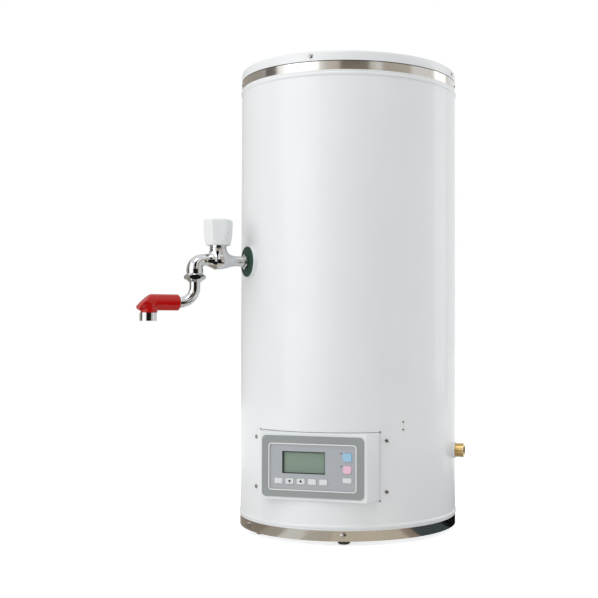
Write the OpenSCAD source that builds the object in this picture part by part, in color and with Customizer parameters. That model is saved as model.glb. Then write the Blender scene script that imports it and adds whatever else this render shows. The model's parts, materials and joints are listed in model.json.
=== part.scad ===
// Electric water boiler with a wall of painted sheet, a swivel tap and a key panel.
// Millimetres. The tank's axis is Z, the floor is Z = 0 and the key panel faces -Y.
// An azimuth is counted from the panel's direction, -Y, towards +X.

/* [Body] */
// Outside diameter of the painted shell
body_d = 340; // [320:1:380]
// Height of the shell between the two steel bands
shell_h = 666; // [600:0.5:760]
// Thickness of the shell's sheet
shell_wall = 0.8; // [0.6:0.1:1.2]
// Radius of the bead rolled into each end of the shell
bead_r = 1.2; // [0.8:0.1:1.8]

/* [Bands and cap] */
// Height of the steel band at the foot of the shell
base_band_h = 15; // [12:0.5:24]
// Height of the steel band under the cap
top_band_h = 12.5; // [10:0.5:20]
// Thickness of both steel bands
band_wall = 0.6; // [0.4:0.1:1]
// Height of the cap's skirt
cap_h = 14.6; // [11:0.2:24]
// Open line between the top band and the cap
cap_gap = 1.2; // [0.6:0.1:2]
// Thickness of the cap's sheet
cap_wall = 0.8; // [0.6:0.1:1.2]
// Radius of the cap's pressed edge
cap_edge_r = 4; // [2:0.5:6]
// Thickness of the ring that the cap is screwed to
ring_wall = 1; // [0.8:0.1:1.5]
// Thickness of the base plate
base_wall = 1.2; // [1:0.1:2]

/* [Feet] */
// Height of the base band above the floor
foot_h = 7.2; // [6:0.1:12]
// Diameter of a rubber foot
foot_d = 18; // [16:0.5:24]
// Distance of a foot's middle from the shell's outer face
foot_inset = 22; // [20:0.5:27]
// Azimuth of the first foot, which is under the tap
foot_azimuth = -45; // [-60:1:-30]
// Angle between two neighbouring feet of one pair
foot_spread = 60; // [50:1:90]

/* [Control box] */
// Width of the box where it leaves the shell
box_w = 185.2; // [180:0.2:190]
// Height of the box
box_h = 98.6; // [96:0.2:110]
// Height of the box's lower edge above the base band's foot
box_rise = 57; // [54:0.5:70]
// How far each side of the box slopes in towards the flat front
box_side_in = 10.6; // [8:0.2:12]
// How far the flat front stands out past the shell's foremost line
box_proud = 3; // [2:0.2:8]
// Thickness of the box's sheet
box_wall = 1; // [0.8:0.1:1.4]
// Outer radius of the bends beside the flat front
bend_r = 3; // [2:0.5:4]
// Open line between the box and the window in the shell
box_gap = 0.6; // [0.4:0.1:1]

/* [Controller] */
// Width of the flat front that is left bare on each side of the grey bezel
bezel_side_gap = 4.7; // [4:0.1:8]
// Height of the flat front that is left bare above and below the grey bezel
bezel_end_gap = 5.2; // [4:0.1:8]
// Thickness of the bezel in front of the box
bezel_t = 1.5; // [1:0.1:2]
// Corner radius of the bezel
bezel_corner = 6.5; // [3:0.5:10]
// Width of the bezel on each side of the panel plate
bezel_side_w = 12.05; // [11.5:0.05:12.5]
// Height of the bezel above and below the panel plate
bezel_end_w = 11.7; // [11.2:0.1:12.2]
// Thickness of the panel plate
plate_t = 1.2; // [0.8:0.1:1.5]
// Depth of the controller's case behind the flat front
case_depth = 20; // [18:0.5:24]
// Width of the panel plate to the left of the display's window
lcd_left_w = 19.05; // [18:0.05:21]
// Height of the panel plate above the display's window
lcd_upper_h = 10; // [9:0.1:12]
// How far a key stands out of the panel plate
key_proud = 0.9; // [0.9:0.1:1.5]
// How far a key travels when it is pressed
key_travel = 0.8; // [0.4:0.1:0.8]

/* [Tap] */
// Azimuth of the tap
tap_azimuth = -45; // [-60:1:-40]
// Height of the tap's arm above the base band's foot
tap_rise = 406.3; // [300:0.5:480]
// Diameter of the arm
arm_d = 16; // [15:0.1:18]
// Distance of the spindle from the shell
spindle_out = 51.2; // [48:0.2:60]
// Distance from the spindle to the upright outlet
outlet_reach = 36.2; // [34:0.2:44]
// Distance from the upright outlet to the nozzle
spout_reach = 70.6; // [64:0.2:90]
// Depth of the spout's level run below the arm
spout_drop = 63.5; // [60:0.5:90]
// Diameter of the spout's pipe
spout_d = 16; // [15.6:0.1:16.4]
// Wall of the spout's pipe
spout_wall = 1.2; // [1:0.1:1.5]
// Radius of the bend in the spout's pipe, at the middle of the pipe
spout_bend_r = 23; // [18:0.5:26]
// Diameter of the red cover on the spout
cover_d = 24; // [22:0.2:26]
// Diameter of the nozzle
nozzle_d = 25; // [24:0.1:26]
// Height of the nozzle
nozzle_h = 11.8; // [11:0.2:16]
// Height of the handle
handle_h = 39.5; // [36:0.1:44]
// Width across the top of the handle, corner to corner
handle_d = 44.6; // [40:0.2:48]
// Rise of the spindle in one turn
thread_lead = 1.75; // [1:0.05:2]

/* [Tank] */
// Thickness of the foam between the inner tank and the shell's outer face
foam_t = 28; // [26:0.5:32]
// Height of the inner tank over both domes
tank_h = 514; // [440:1:520]
// Height of the lower dome's middle above the base band's foot
tank_rise = 155.8; // [150:0.2:162]
// Rise of each domed end
dome_h = 32; // [26:1:40]
// Thickness of the tank's sheet
tank_wall = 1; // [0.8:0.1:1.5]
// Length of the heating elements above their flange
element_h = 260; // [150:5:340]
// Diameter of the heating elements' tube
element_d = 8; // [6:0.2:9]

/* [Water inlet] */
// Azimuth of the water inlet
inlet_azimuth = 90; // [80:1:110]
// Height of the inlet above the base band's foot
inlet_rise = 117.3; // [110:0.5:122]
// Diameter of the inlet's pipe thread
inlet_d = 20.96; // [20:0.02:22]
// How far the inlet stands out of the shell
inlet_out = 17.5; // [16:0.5:40]
// Diameter of the pipe inside the shell
pipe_d = 16; // [15:0.2:17]

/* [Hidden] */
$fn = 96;

// Gaps of a sliding and a seated fit, and overruns of a cut past the solid it cuts
fit = 0.1;
close_fit = 0.05;
over = 5;
lap = 1;
hole_reach = 25;
radian = 180 / PI;

// Levels, from the floor up
body_r = body_d / 2;
base_z = foot_h;
shell_z = base_z + base_band_h;
shell_top = shell_z + shell_h;
cap_z = shell_top + top_band_h + cap_gap;
cap_top = cap_z + cap_h;
shell_in_r = body_r - shell_wall;
band_in_r = body_r - band_wall;
plate_z = base_z + base_wall;
bead_lift_share = 1.25;
bead_lift = bead_r * bead_lift_share;

// Screws: head diameter, head height, shank diameter and shank length
small_head_d = 6.6;
small_head_h = 2;
cover_head_d = 5.8;
cover_head_h = 1.8;
small_shank_d = 4;
small_shank_l = 7;
big_head_d = 9.2;
big_head_h = 2.4;
big_shank_d = 5;
big_shank_l = 8;
cross_w = 1.1;
cross_depth = 1.2;
cross_share = 0.62;
dome_share = 1.1;

// Places of the screws in the base band, the cap, the top band and the cover
foot_circle_r = body_r - foot_inset;
foot_azimuths = [for (side = [0, 180], step = [0, foot_spread]) foot_azimuth + side + step];
cap_turn = -2;
cap_azimuths = [for (quarter = [0:3]) cap_turn + quarter * 90];
rivet_azimuths = [-62, 96, 208];
band_screw_share = 0.52;
band_screw_z = base_z + base_band_h * band_screw_share;
cap_screw_share = 0.5;
cap_screw_z = cap_z + cap_h * cap_screw_share;
rivet_z = shell_top + top_band_h / 2;
rivet_d = 4;
rivet_h = 1;
rivet_tail = 3;

// Two white rivets beside the control box
side_rivet_d = 5.6;
side_rivet_h = 1.4;
side_rivet_hole_d = 1.6;
side_rivet_tail = 3.2;
side_rivet_azimuth = 45;
side_rivet_rise = 3;
side_rivet_step = 10.8;

// Foot and its bolt
foot_chamfer = 1.6;
bolt_d = 6;
bolt_head_d = 9.6;
bolt_head_h = 2.2;
foot_recess = 3;
bolt_nut_af = 10;
bolt_nut_h = 5;
bolt_tail = 3;

// Ring under the cap
ring_r = min(band_in_r, body_r - cap_wall) - close_fit;
ring_in = 15;
ring_in_r = body_r - ring_in;

// Control box
box_face_w = box_w - 2 * box_side_in;
box_z = base_z + box_rise;
face_y = body_r + box_proud;
box_edge_x = box_w / 2 - box_gap;
box_edge_y = sqrt(body_r * body_r - box_w * box_w / 4);
box_lean = (box_edge_x - box_face_w / 2) / (face_y - box_edge_y);
flange_r = shell_in_r - close_fit;
flange_in_r = flange_r - box_wall;
box_root_in = 3;
box_root_y = box_edge_y - box_root_in;
window_angle = asin(box_w / 2 / body_r);
flange_w = 19.3;
flange_angle = window_angle + flange_w / body_r * radian;
relief_d = 3;
cover_screw_side = 9.8;
cover_angle = window_angle + cover_screw_side / body_r * radian;
cover_azimuths = [-cover_angle, cover_angle];
cover_screw_inset = 12.4;
cover_screw_zs = [box_z + cover_screw_inset, box_z + box_h - cover_screw_inset];

// Controller, drawn on the box's flat front with its middle at the bezel's middle
bezel_lower = 0.4;
panel_z = box_z + box_h / 2 - bezel_lower;
bezel_lap = 3;
bezel_w = box_face_w - 2 * bezel_side_gap;
bezel_h = box_h - 2 * bezel_end_gap;
case_w = bezel_w - 2 * bezel_lap;
case_h = bezel_h - 2 * bezel_lap;
case_wall = 2;
case_gap = 0.3;
case_corner = 3;
plate_shift = -0.6;
plate_w = bezel_w - 2 * bezel_side_w;
plate_h = bezel_h - 2 * bezel_end_w;
plate_recess = 0.8;
plate_front = bezel_t - plate_recess;
plate_back = plate_front - plate_t;
plate_corner = 3;
ledge_w = 2;
ledge_t = 1.2;
lip_w = 1.3;
lip_t = 0.6;
lcd_right_w = 46.15;
lcd_lower_h = 22.8;
lcd_w = plate_w - lcd_left_w - lcd_right_w;
lcd_h = plate_h - lcd_upper_h - lcd_lower_h;
lcd_x = (lcd_left_w - lcd_right_w) / 2;
lcd_y = plate_shift + (lcd_lower_h - lcd_upper_h) / 2;
lcd_recess = 2.6;
lcd_border = 1.7;
lcd_front = plate_front - lcd_recess;
key_flange = 1;
key_flange_t = 1.4;
key_flange_z = plate_back - fit - key_flange_t;
key_rim = 0.2;
key_corner = 1.6;
key_clearance = 0.3;
mat_front = key_flange_z - key_travel - key_clearance;
mat_t = 1.2;
mat_margin = 3.3;
mat_w = plate_w - 2 * mat_margin;
mat_h = plate_h - 2 * mat_margin;
pcb_front = mat_front - mat_t;
pcb_t = 1.6;
pcb_margin = 5.2;
pcb_w = case_w - 2 * pcb_margin;
pcb_h = case_h - 2 * pcb_margin;
pcb_back = pcb_front - pcb_t;
chip_size = [27, 24, 9];
chip_in = 35.1;
chip_x = chip_in - pcb_w / 2;
relay_chip_size = [17, 17, 8.5];
relay_chip_in = 47.1;
relay_chip_x = pcb_w / 2 - relay_chip_in;
relay_chip_y = 12;
can_d = 7.6;
can_h = 9;
can_pitch = 9.8;
can_in = 35.1;
can_x = pcb_w / 2 - can_in;
can_y = -14;
cans = 3;
post_r = 3.4;
post_inset = 3.6;
post_x = pcb_w / 2 - post_inset;
post_y = pcb_h / 2 - post_inset;
back_t = 1.5;
back_lip = 2;
back_hole_d = 12;

// Keys of the lower row, from the bezel's middle: they share the plate between two margins
row_rise = 11.9;
row_left = 13.65;
row_right = 48.45;
row_gap = 4.8;
row_steps = 4;
row_y = plate_shift - plate_h / 2 + row_rise;
row_x = row_left - plate_w / 2;
row_pitch = (plate_w - row_left - row_right) / row_steps;
row_key = [row_pitch - row_gap, 8.3];
mark_w = 2.6;
mark_depth = 0.25;

// Keys of the column, from the top down: they share the height that the gaps leave
column_in = 12.75;
column_x = plate_w / 2 - column_in;
column_top = 10.2;
column_gaps = [5.7, 6.05];
column_foot = 11.75;
column_shares = [12, 11.6, 7.5];
column_widths = [13.4, 13, 13.6];
column_unit = (plate_h - column_top - column_gaps[0] - column_gaps[1] - column_foot)
    / (column_shares[0] + column_shares[1] + column_shares[2]);
blue_key = [column_widths[0], column_shares[0] * column_unit];
pink_key = [column_widths[1], column_shares[1] * column_unit];
white_key = [column_widths[2], column_shares[2] * column_unit];
blue_y = plate_shift + plate_h / 2 - column_top - blue_key[1] / 2;
pink_y = blue_y - blue_key[1] / 2 - column_gaps[0] - pink_key[1] / 2;
white_y = pink_y - pink_key[1] / 2 - column_gaps[1] - white_key[1] / 2;
pink_corner_share = 0.362;
pink_corner = pink_corner_share * pink_key[1];
lamp_d = 2;
lamp_step = 9.1;
lamp_rises = [5.3, 4.2];
lamp_x = column_x - lamp_step;
lamp_ys = [blue_y + lamp_rises[0], pink_y + lamp_rises[1]];

// Tap, drawn with X outwards from the tank's axis and Z up from the arm
tap_z = base_z + tap_rise;
arm_r = arm_d / 2;
spindle_x = body_r + spindle_out;
outlet_x = spindle_x + outlet_reach;
nozzle_x = outlet_x + spout_reach;
seat_h = 4;
seat_face_r = 24.8;
seat_foot_r = 26.4;
seat_depth = 9;
gasket_t = 1.4;
gasket_r = 22.9;
tail_r = 10.45;
tail_in = 20;
nut_af = 20.6;
nut_h = 4.6;
nut_foot_r = 11;
nut_bevel = 0.9;
nut_x = body_r + seat_h + gasket_t;
neck_r = 12.5;
neck_top = 19;
belly_r = 13.6;
belly_ball_r = 16;
belly_drop = 12.2;
neck_flare = 6;
flare_z = 5.6;
flare_h = 8.4;
branch_bore_x = 6.3;
chamber_r = 9;
valve_seat_z = 1;
port_r = 5;
port_floor = -7;
arm_bore_r = 4;
arm_bore_z = -3;
branch_r = 9;
branch_bore_z = -1;
elbow_r = 14;
elbow_tube_r = 10.1;
socket_r = 12.3;
socket_top = -13;
socket_neck_r = 8;
socket_neck_z = -4;
socket_foot = -21.3;
thread_r = 11.5;
thread_foot = -28.3;
outlet_bore_r = 6.5;
outlet_bore_top = -3;
spout_top = -19;

// Bonnet, spindle and valve
bonnet_h = 9;
bonnet_room = 1.4;
spindle_r = 4;
spindle_foot = 5;
spindle_head_z = 50;
packing_z = 22;
packing_r = 7;
washer_r = 7;
washer_t = 2;
disc_t = 2;
jumper_r = 2;
jumper_l = 7;
jumper_room = 0.5;
valve_turns = 1.5;
bonnet_plug_z = valve_seat_z + washer_t + disc_t + valve_turns * thread_lead + bonnet_room;

// Handle
handle_z = 22.6;
handle_foot_r = 18;
handle_crown_r = 3;
handle_flats = 6;
handle_flat_angle = 13.7;
handle_flat_share = 0.848;
handle_flat_lean = 0.6;
handle_steps = 10;
skirt_bore_r = 14;
skirt_bore_h = 14.4;
hub_r = 8;
hub_drop = 7.5;
screw_floor = 4;
screw_head_r = 5;
screw_head_h = 3;
screw_r = 1.9;
screw_l = 14;
cap_recess_r = 9;
cap_recess_h = 1.5;

// Spout nut, seal, pipe, cover and nozzle
spout_r = spout_d / 2;
spout_bore_r = spout_r - spout_wall;
spout_nut_af = 28;
spout_nut_foot = -32.6;
spout_nut_top_r = 13;
spout_nut_top_h = 2.5;
spout_nut_lower_h = 5.1;
spout_nut_lower_r = 10.4;
spout_lip = 1.8;
nose_bend_r = 10;
spout_collar_gap = 0.3;
spout_collar_r = thread_r + close_fit - spout_collar_gap;
spout_collar_t = 0.9;
seal_t = 1.4;
cover_gap = 1.6;
cover_start = outlet_x + spout_bend_r + cover_gap;
cover_tip = 16.4;
cover_brow = 2.3;
cover_tip_drop = 6.7;
cover_under = 10.2;
cover_chamfer = 2;
boss_r = 12.2;
boss_shift = 1;
boss_drop = 15.2;
cover_r = cover_d / 2;
nozzle_r = nozzle_d / 2;
nozzle_z = -spout_drop - boss_drop;
nozzle_wall = 2;
nozzle_screw_l = 5.3;
nozzle_floor = 2;
jet_d = 1.8;
jet_pitch = 3.4;

// Tank, stand, heater and pipes
tank_r = body_r - foam_t;
tank_z = base_z + tank_rise;
dome_r = (tank_r * tank_r + dome_h * dome_h) / (2 * dome_h);
foam_foot = 27;
foam_top = 4.7;
stand_inset = 14;
stand_r = tank_r - stand_inset;
stand_wall = 1.2;
stand_window = [150, 140];
stand_window_z = 22;
stand_door = [60, 90];
heater_ring_r = 58;
heater_bore_r = 40;
heater_ring_drop = 10;
heater_gasket_t = 1.5;
heater_flange_t = 5;
heater_bolt_circle_r = 50;
heater_bolt_d = 6;
heater_bolt_af = 10;
heater_bolt_head_h = 4;
heater_bolt_l = 15;
heater_bolt_count = 6;
heater_flange_z = tank_z - heater_ring_drop - heater_gasket_t - heater_flange_t;
hairpins = 3;
hairpin_r = 24;
hairpin_half = 11;
stud_d = 4;
stud_l = 10;
element_tail = 16;
probe_d = 10;
probe_head_d = 16;
probe_head_h = 10;
probe_h = 150;
cutout_azimuth = 45;
cutout_x = (heater_ring_r + stand_r) / 2;
cutout_d = 20;
cutout_h = 12;
blade = [6.3, 0.8, 8];
socket_wall = 4.5;
tap_port_r = 6;
tap_socket_r = tail_r + socket_wall;
inlet_z = base_z + inlet_rise;
inlet_r = inlet_d / 2;
inlet_relief = 0.2;
thread_gap = 0.5;
inlet_bore_r = 6.5;
inlet_flange_r = 15;
inlet_flange_t = 6;
inlet_tail = 14;
bush_wall = 1.5;
bush_out = 4.5;
bush_in = 4;
bush_flange_t = 2;
pipe_r = pipe_d / 2;
pipe_wall = 1;
pipe_bend_r = 25;
pipe_inset = 42;
pipe_x = tank_r - pipe_inset;
pipe_socket_r = pipe_r + socket_wall;
pipe_socket_drop = 10;
pipe_end_z = tank_z + dome_h / 3;
relay_size = [44, 38, 50];
relay_place_shares = [0.375, 0.36];
relay_x = relay_place_shares[0] * stand_r;
relay_y = relay_place_shares[1] * stand_r;
relay_foot = [60, 38, 3];
relay_blade_pitch = 12;
relay_blades = 4;
block_size = [58, 26, 20];
block_place_shares = [-0.36, 0.4375];
block_x = block_place_shares[0] * stand_r;
block_y = block_place_shares[1] * stand_r;
block_poles = 3;
block_groove_w = 2;
block_groove_depth = 9;
block_screw_d = 7;
block_screw_depth = 3;
gland_z_rise = 52.8;
gland_azimuth = 180;
gland_r = 9;
gland_bore_r = 5;
gland_hex_af = 24;
gland_hex_t = 5;
gland_dome_r = 11;
gland_nose_r = 8.8;
gland_dome_l = 13;
gland_in = 6;

// Moves a piece drawn along X to an azimuth, a height and a distance from the tank's axis
module at(azimuth, z, out = 0) {
    rotate([0, 0, azimuth - 90]) translate([out, 0, z]) children();
}

// Turns a piece drawn upwards so that it points outwards along X
module outward() {
    rotate([0, 90, 0]) children();
}

// Moves a piece drawn on a flat page to the front of the control box
module on_panel(x = 0, y = 0, out = 0) {
    translate([x, -face_y - out, panel_z + y]) rotate([90, 0, 0]) children();
}

module tube(r, wall, h) {
    difference() {
        cylinder(r = r, h = h, $fn = 180);
        translate([0, 0, -over]) cylinder(r = r - wall, h = h + 2 * over, $fn = 180);
    }
}

module hexagon(af, h) {
    cylinder(d = af / cos(30), h = h, $fn = 6);
}

// Rectangle with round corners, centred
module round_rect(w, h, r) {
    square([w - 2 * r, h], center = true);
    square([w, h - 2 * r], center = true);
    for (x = [-1, 1], y = [-1, 1]) {
        translate([x * (w / 2 - r), y * (h / 2 - r)]) circle(r = r, $fn = 48);
    }
}

// Round-headed cross screw: its head stands on z = 0 and its shank points down
module screw(head_d, head_h, shank_d, shank_l) {
    ball_r = head_d * dome_share;
    difference() {
        intersection() {
            cylinder(d = head_d, h = head_h);
            translate([0, 0, head_h - ball_r]) sphere(r = ball_r);
        }
        for (turn = [0, 90]) rotate([0, 0, turn]) {
            translate([-head_d * cross_share / 2, -cross_w / 2, head_h - cross_depth])
                cube([head_d * cross_share, cross_w, cross_depth + over]);
        }
    }
    translate([0, 0, -shank_l]) cylinder(d = shank_d, h = shank_l);
}

// Radial hole through a wall
module radial_hole(azimuth, z, d, from_r = body_r - hole_reach, length = 2 * hole_reach) {
    at(azimuth, z, from_r) outward() cylinder(d = d, h = length);
}

module screw_holes(azimuths, zs, d) {
    for (azimuth = azimuths, z = zs) radial_hole(azimuth, z, d + 2 * fit);
}

module screws(azimuths, zs, head_d, head_h, shank_d, shank_l) {
    for (azimuth = azimuths, z = zs) {
        at(azimuth, z, body_r) outward() screw(head_d, head_h, shank_d, shank_l);
    }
}

// Painted shell with its beads, the window for the control box and all its holes
module outer_shell() {
    side_rivet_zs = [for (step = [0, 1]) box_z + box_h + side_rivet_rise + step * side_rivet_step];
    color("white") difference() {
        union() {
            translate([0, 0, shell_z]) tube(body_r, shell_wall, shell_h);
            for (z = [shell_z + bead_lift, shell_top - bead_lift]) translate([0, 0, z])
                rotate_extrude($fn = 180) translate([body_r - shell_wall / 2, 0]) circle(r = bead_r);
        }
        translate([-box_w / 2, -body_r - over, box_z]) cube([box_w, body_r, box_h]);
        for (x = [-1, 1], z = [box_z, box_z + box_h]) translate([x * box_w / 2, -box_edge_y, z])
            rotate([0, 0, atan2(-box_edge_y, x * box_w / 2)]) outward()
                translate([0, 0, -2 * over]) cylinder(d = relief_d, h = 4 * over);
        screw_holes(cover_azimuths, cover_screw_zs, small_shank_d);
        for (z = side_rivet_zs) radial_hole(side_rivet_azimuth, z, side_rivet_d / 2 + 2 * fit);
        radial_hole(tap_azimuth, tap_z, 2 * (tap_socket_r + fit));
        radial_hole(inlet_azimuth, inlet_z, 2 * (inlet_r + bush_wall + 2 * fit));
        radial_hole(gland_azimuth, base_z + gland_z_rise, 2 * (gland_r + fit));
    }
}

// Outline of the cap from its middle to its rim, turned about the axis
module cap_outline(r, h, edge) {
    square([r - edge, h]);
    square([r, h - edge]);
    translate([r - edge, h - edge]) circle(r = edge, $fn = 48);
}

module top_cap() {
    color("white") difference() {
        translate([0, 0, cap_z]) rotate_extrude($fn = 180) intersection() {
            difference() {
                cap_outline(body_r, cap_h, cap_edge_r);
                translate([0, -over])
                    cap_outline(body_r - cap_wall, cap_h + over - cap_wall, cap_edge_r - cap_wall);
            }
            square([body_r + over, cap_h]);
        }
        screw_holes(cap_azimuths, [cap_screw_z], small_shank_d);
    }
}

// Ring that carries the cap: a flat flange on the shell's end and an upright wall
module top_ring() {
    color("lightgray") difference() {
        union() {
            translate([0, 0, shell_top]) tube(band_in_r - close_fit, band_in_r - ring_in_r, ring_wall);
            translate([0, 0, shell_top]) tube(ring_r, ring_wall, cap_top - cap_edge_r - lap - shell_top);
        }
        screw_holes(cap_azimuths, [cap_screw_z], small_shank_d);
        screw_holes(rivet_azimuths, [rivet_z], rivet_d / 2);
    }
}

module top_band() {
    color("silver") difference() {
        translate([0, 0, shell_top]) tube(body_r, band_wall, top_band_h);
        screw_holes(rivet_azimuths, [rivet_z], rivet_d / 2);
    }
}

module base_band() {
    color("silver") difference() {
        translate([0, 0, base_z]) tube(body_r, band_wall, base_band_h);
        screw_holes(foot_azimuths, [band_screw_z], big_shank_d);
    }
}

// Pan-shaped base: a flat floor with an upright wall inside the base band
module base_plate() {
    color("lightgray") difference() {
        translate([0, 0, base_z]) cylinder(r = band_in_r - close_fit, h = base_band_h, $fn = 180);
        translate([0, 0, plate_z])
            cylinder(r = band_in_r - close_fit - base_wall, h = base_band_h + over, $fn = 180);
        screw_holes(foot_azimuths, [band_screw_z], big_shank_d);
        for (azimuth = foot_azimuths) at(azimuth, base_z - over, foot_circle_r)
            cylinder(d = bolt_d + 2 * fit, h = 3 * over);
    }
}

module rubber_feet() {
    color("#2b2320") for (azimuth = foot_azimuths) at(azimuth, 0, foot_circle_r) difference() {
        union() {
            cylinder(d1 = foot_d - 2 * foot_chamfer, d2 = foot_d, h = foot_chamfer);
            translate([0, 0, foot_chamfer]) cylinder(d = foot_d, h = foot_h - foot_chamfer);
        }
        translate([0, 0, -over]) cylinder(d = bolt_head_d + 4 * fit, h = over + foot_recess);
        cylinder(d = bolt_d + 2 * fit, h = foot_h + over);
    }
}

// Bolts up through the feet, each with its nut on the base plate
module foot_bolts() {
    bolt_l = foot_h - foot_recess + base_wall + bolt_nut_h + bolt_tail;
    color("silver") for (azimuth = foot_azimuths) at(azimuth, 0, foot_circle_r) {
        translate([0, 0, foot_recess - bolt_head_h]) cylinder(d = bolt_head_d, h = bolt_head_h);
        translate([0, 0, foot_recess]) cylinder(d = bolt_d, h = bolt_l);
        translate([0, 0, plate_z]) difference() {
            hexagon(bolt_nut_af, bolt_nut_h);
            translate([0, 0, -over]) cylinder(d = bolt_d + close_fit, h = bolt_nut_h + 2 * over);
        }
    }
}

module cap_screws() {
    color("gainsboro") screws(cap_azimuths, [cap_screw_z], small_head_d, small_head_h,
                              small_shank_d, small_shank_l);
}

module band_screws() {
    color("silver") screws(foot_azimuths, [band_screw_z], big_head_d, big_head_h,
                           big_shank_d, big_shank_l);
}

module band_rivets() {
    color("gray") for (azimuth = rivet_azimuths) at(azimuth, rivet_z, body_r) outward() {
        cylinder(d = rivet_d, h = rivet_h);
        translate([0, 0, -rivet_tail]) cylinder(d = rivet_d / 2, h = rivet_tail);
    }
}

// White push-in rivets, each with a pin hole in its middle
module side_rivets() {
    color("white") for (step = [0, 1])
        at(side_rivet_azimuth, box_z + box_h + side_rivet_rise + step * side_rivet_step, body_r)
            outward() difference() {
                union() {
                    cylinder(d = side_rivet_d, h = side_rivet_h);
                    translate([0, 0, -side_rivet_tail])
                        cylinder(d = side_rivet_d / 2, h = side_rivet_tail + side_rivet_h / 2);
                }
                translate([0, 0, -side_rivet_h]) cylinder(d = side_rivet_hole_d, h = over);
            }
}

// Half of the tank's form, made larger all round by grow: the sphere shapes only the dome
module tank_half(grow, up) {
    r = tank_r + grow;
    middle = tank_z + tank_h / 2;
    ball_z = up > 0 ? tank_z + tank_h - dome_r : tank_z + dome_r;
    intersection() {
        translate([0, 0, up > 0 ? middle : tank_z - grow])
            cylinder(r = r, h = tank_h / 2 + grow, $fn = 180);
        union() {
            translate([0, 0, ball_z]) sphere(r = dome_r + grow, $fn = 180);
            translate([0, 0, up > 0 ? middle - over : ball_z])
                cylinder(r = r + over, h = abs(ball_z - middle) + over, $fn = 180);
        }
    }
}

// Stainless tank with the heater ring, the tap's socket and the inlet's socket welded on
module inner_tank() {
    color("lightsteelblue") difference() {
        union() {
            tank_half(0, -1);
            tank_half(0, 1);
            translate([0, 0, tank_z - heater_ring_drop])
                cylinder(r = heater_ring_r, h = heater_ring_drop + dome_h / 2);
            at(tap_azimuth, tap_z, tank_r - 2 * tank_wall) outward()
                cylinder(r = tap_socket_r, h = body_r - tank_r + tank_wall);
            at(inlet_azimuth, tank_z - pipe_socket_drop + tank_wall, pipe_x)
                cylinder(r = pipe_socket_r, h = pipe_socket_drop + dome_h / 2);
        }
        tank_half(-tank_wall, -1);
        tank_half(-tank_wall, 1);
        translate([0, 0, tank_z - heater_ring_drop - over])
            cylinder(r = heater_bore_r, h = heater_ring_drop + dome_h);
        heater_bolt_places() translate([0, 0, tank_z - heater_ring_drop - over])
            cylinder(d = heater_bolt_d + 2 * fit, h = over + heater_bolt_l - heater_flange_t);
        at(tap_azimuth, tap_z, tank_r - over) outward()
            cylinder(r = tap_port_r, h = body_r - tail_in - tank_r + over);
        at(tap_azimuth, tap_z, body_r - tail_in - lap) outward()
            cylinder(r = tail_r + close_fit, h = tail_in + over);
        at(inlet_azimuth, tank_z - over, pipe_x)
            cylinder(r = pipe_r - pipe_wall, h = dome_h + over);
        at(inlet_azimuth, tank_z - pipe_socket_drop - over, pipe_x)
            cylinder(r = pipe_r + close_fit, h = pipe_end_z + close_fit - tank_z + pipe_socket_drop + over);
    }
}

// Foam between the tank and the shell
module insulation() {
    foam_z = tank_z + foam_foot;
    color("khaki") difference() {
        translate([0, 0, foam_z])
            cylinder(r = shell_in_r - fit, h = shell_top - foam_top - foam_z, $fn = 180);
        tank_half(fit, -1);
        tank_half(fit, 1);
        radial_hole(tap_azimuth, tap_z, 2 * (tap_socket_r + fit), tank_r - over);
    }
}

// Skirt that the tank stands on, open at the front and back for the wiring
module tank_stand() {
    color("gray") difference() {
        translate([0, 0, plate_z]) tube(stand_r, stand_wall, tank_z + dome_h - plate_z);
        tank_half(0, -1);
        translate([-stand_window[0] / 2, -body_r, plate_z + stand_window_z])
            cube([stand_window[0], body_r, stand_window[1]]);
        translate([-stand_door[0] / 2, 0, plate_z + stand_window_z])
            cube([stand_door[0], body_r, stand_door[1]]);
        radial_hole(inlet_azimuth, inlet_z, pipe_d + 2 * over, stand_r - 2 * over, 4 * over);
    }
}

module heater_bolt_places() {
    for (i = [0:heater_bolt_count - 1]) rotate([0, 0, (2 * i + 1) * 180 / heater_bolt_count])
        translate([heater_bolt_circle_r, 0, 0]) children();
}

module heater_holes(d, h) {
    heater_bolt_places() translate([0, 0, -over]) cylinder(d = d, h = h + 2 * over);
}

module hairpin_places() {
    for (turn = [0:hairpins - 1]) rotate([0, 0, turn * 360 / hairpins])
        translate([hairpin_r, 0, 0]) children();
}

module heater_flange() {
    color("silver") translate([0, 0, heater_flange_z]) difference() {
        cylinder(r = heater_ring_r, h = heater_flange_t);
        heater_holes(heater_bolt_d + 2 * fit, heater_flange_t);
        hairpin_places() for (side = [-1, 1]) translate([0, side * hairpin_half, -over])
            cylinder(d = element_d + 2 * close_fit, h = heater_flange_t + 2 * over);
        translate([0, 0, -over]) cylinder(d = probe_d + 2 * close_fit, h = heater_flange_t + 2 * over);
    }
}

module heater_gasket() {
    color("dimgray") translate([0, 0, heater_flange_z + heater_flange_t]) difference() {
        cylinder(r = heater_ring_r - fit, h = heater_gasket_t);
        translate([0, 0, -over]) cylinder(r = heater_bore_r + fit, h = heater_gasket_t + 2 * over);
        heater_holes(heater_bolt_d + 2 * fit, heater_gasket_t);
    }
}

module heater_bolts() {
    color("silver") heater_bolt_places() translate([0, 0, heater_flange_z]) {
        translate([0, 0, -heater_bolt_head_h]) hexagon(heater_bolt_af, heater_bolt_head_h);
        cylinder(d = heater_bolt_d, h = heater_bolt_l);
    }
}

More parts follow.
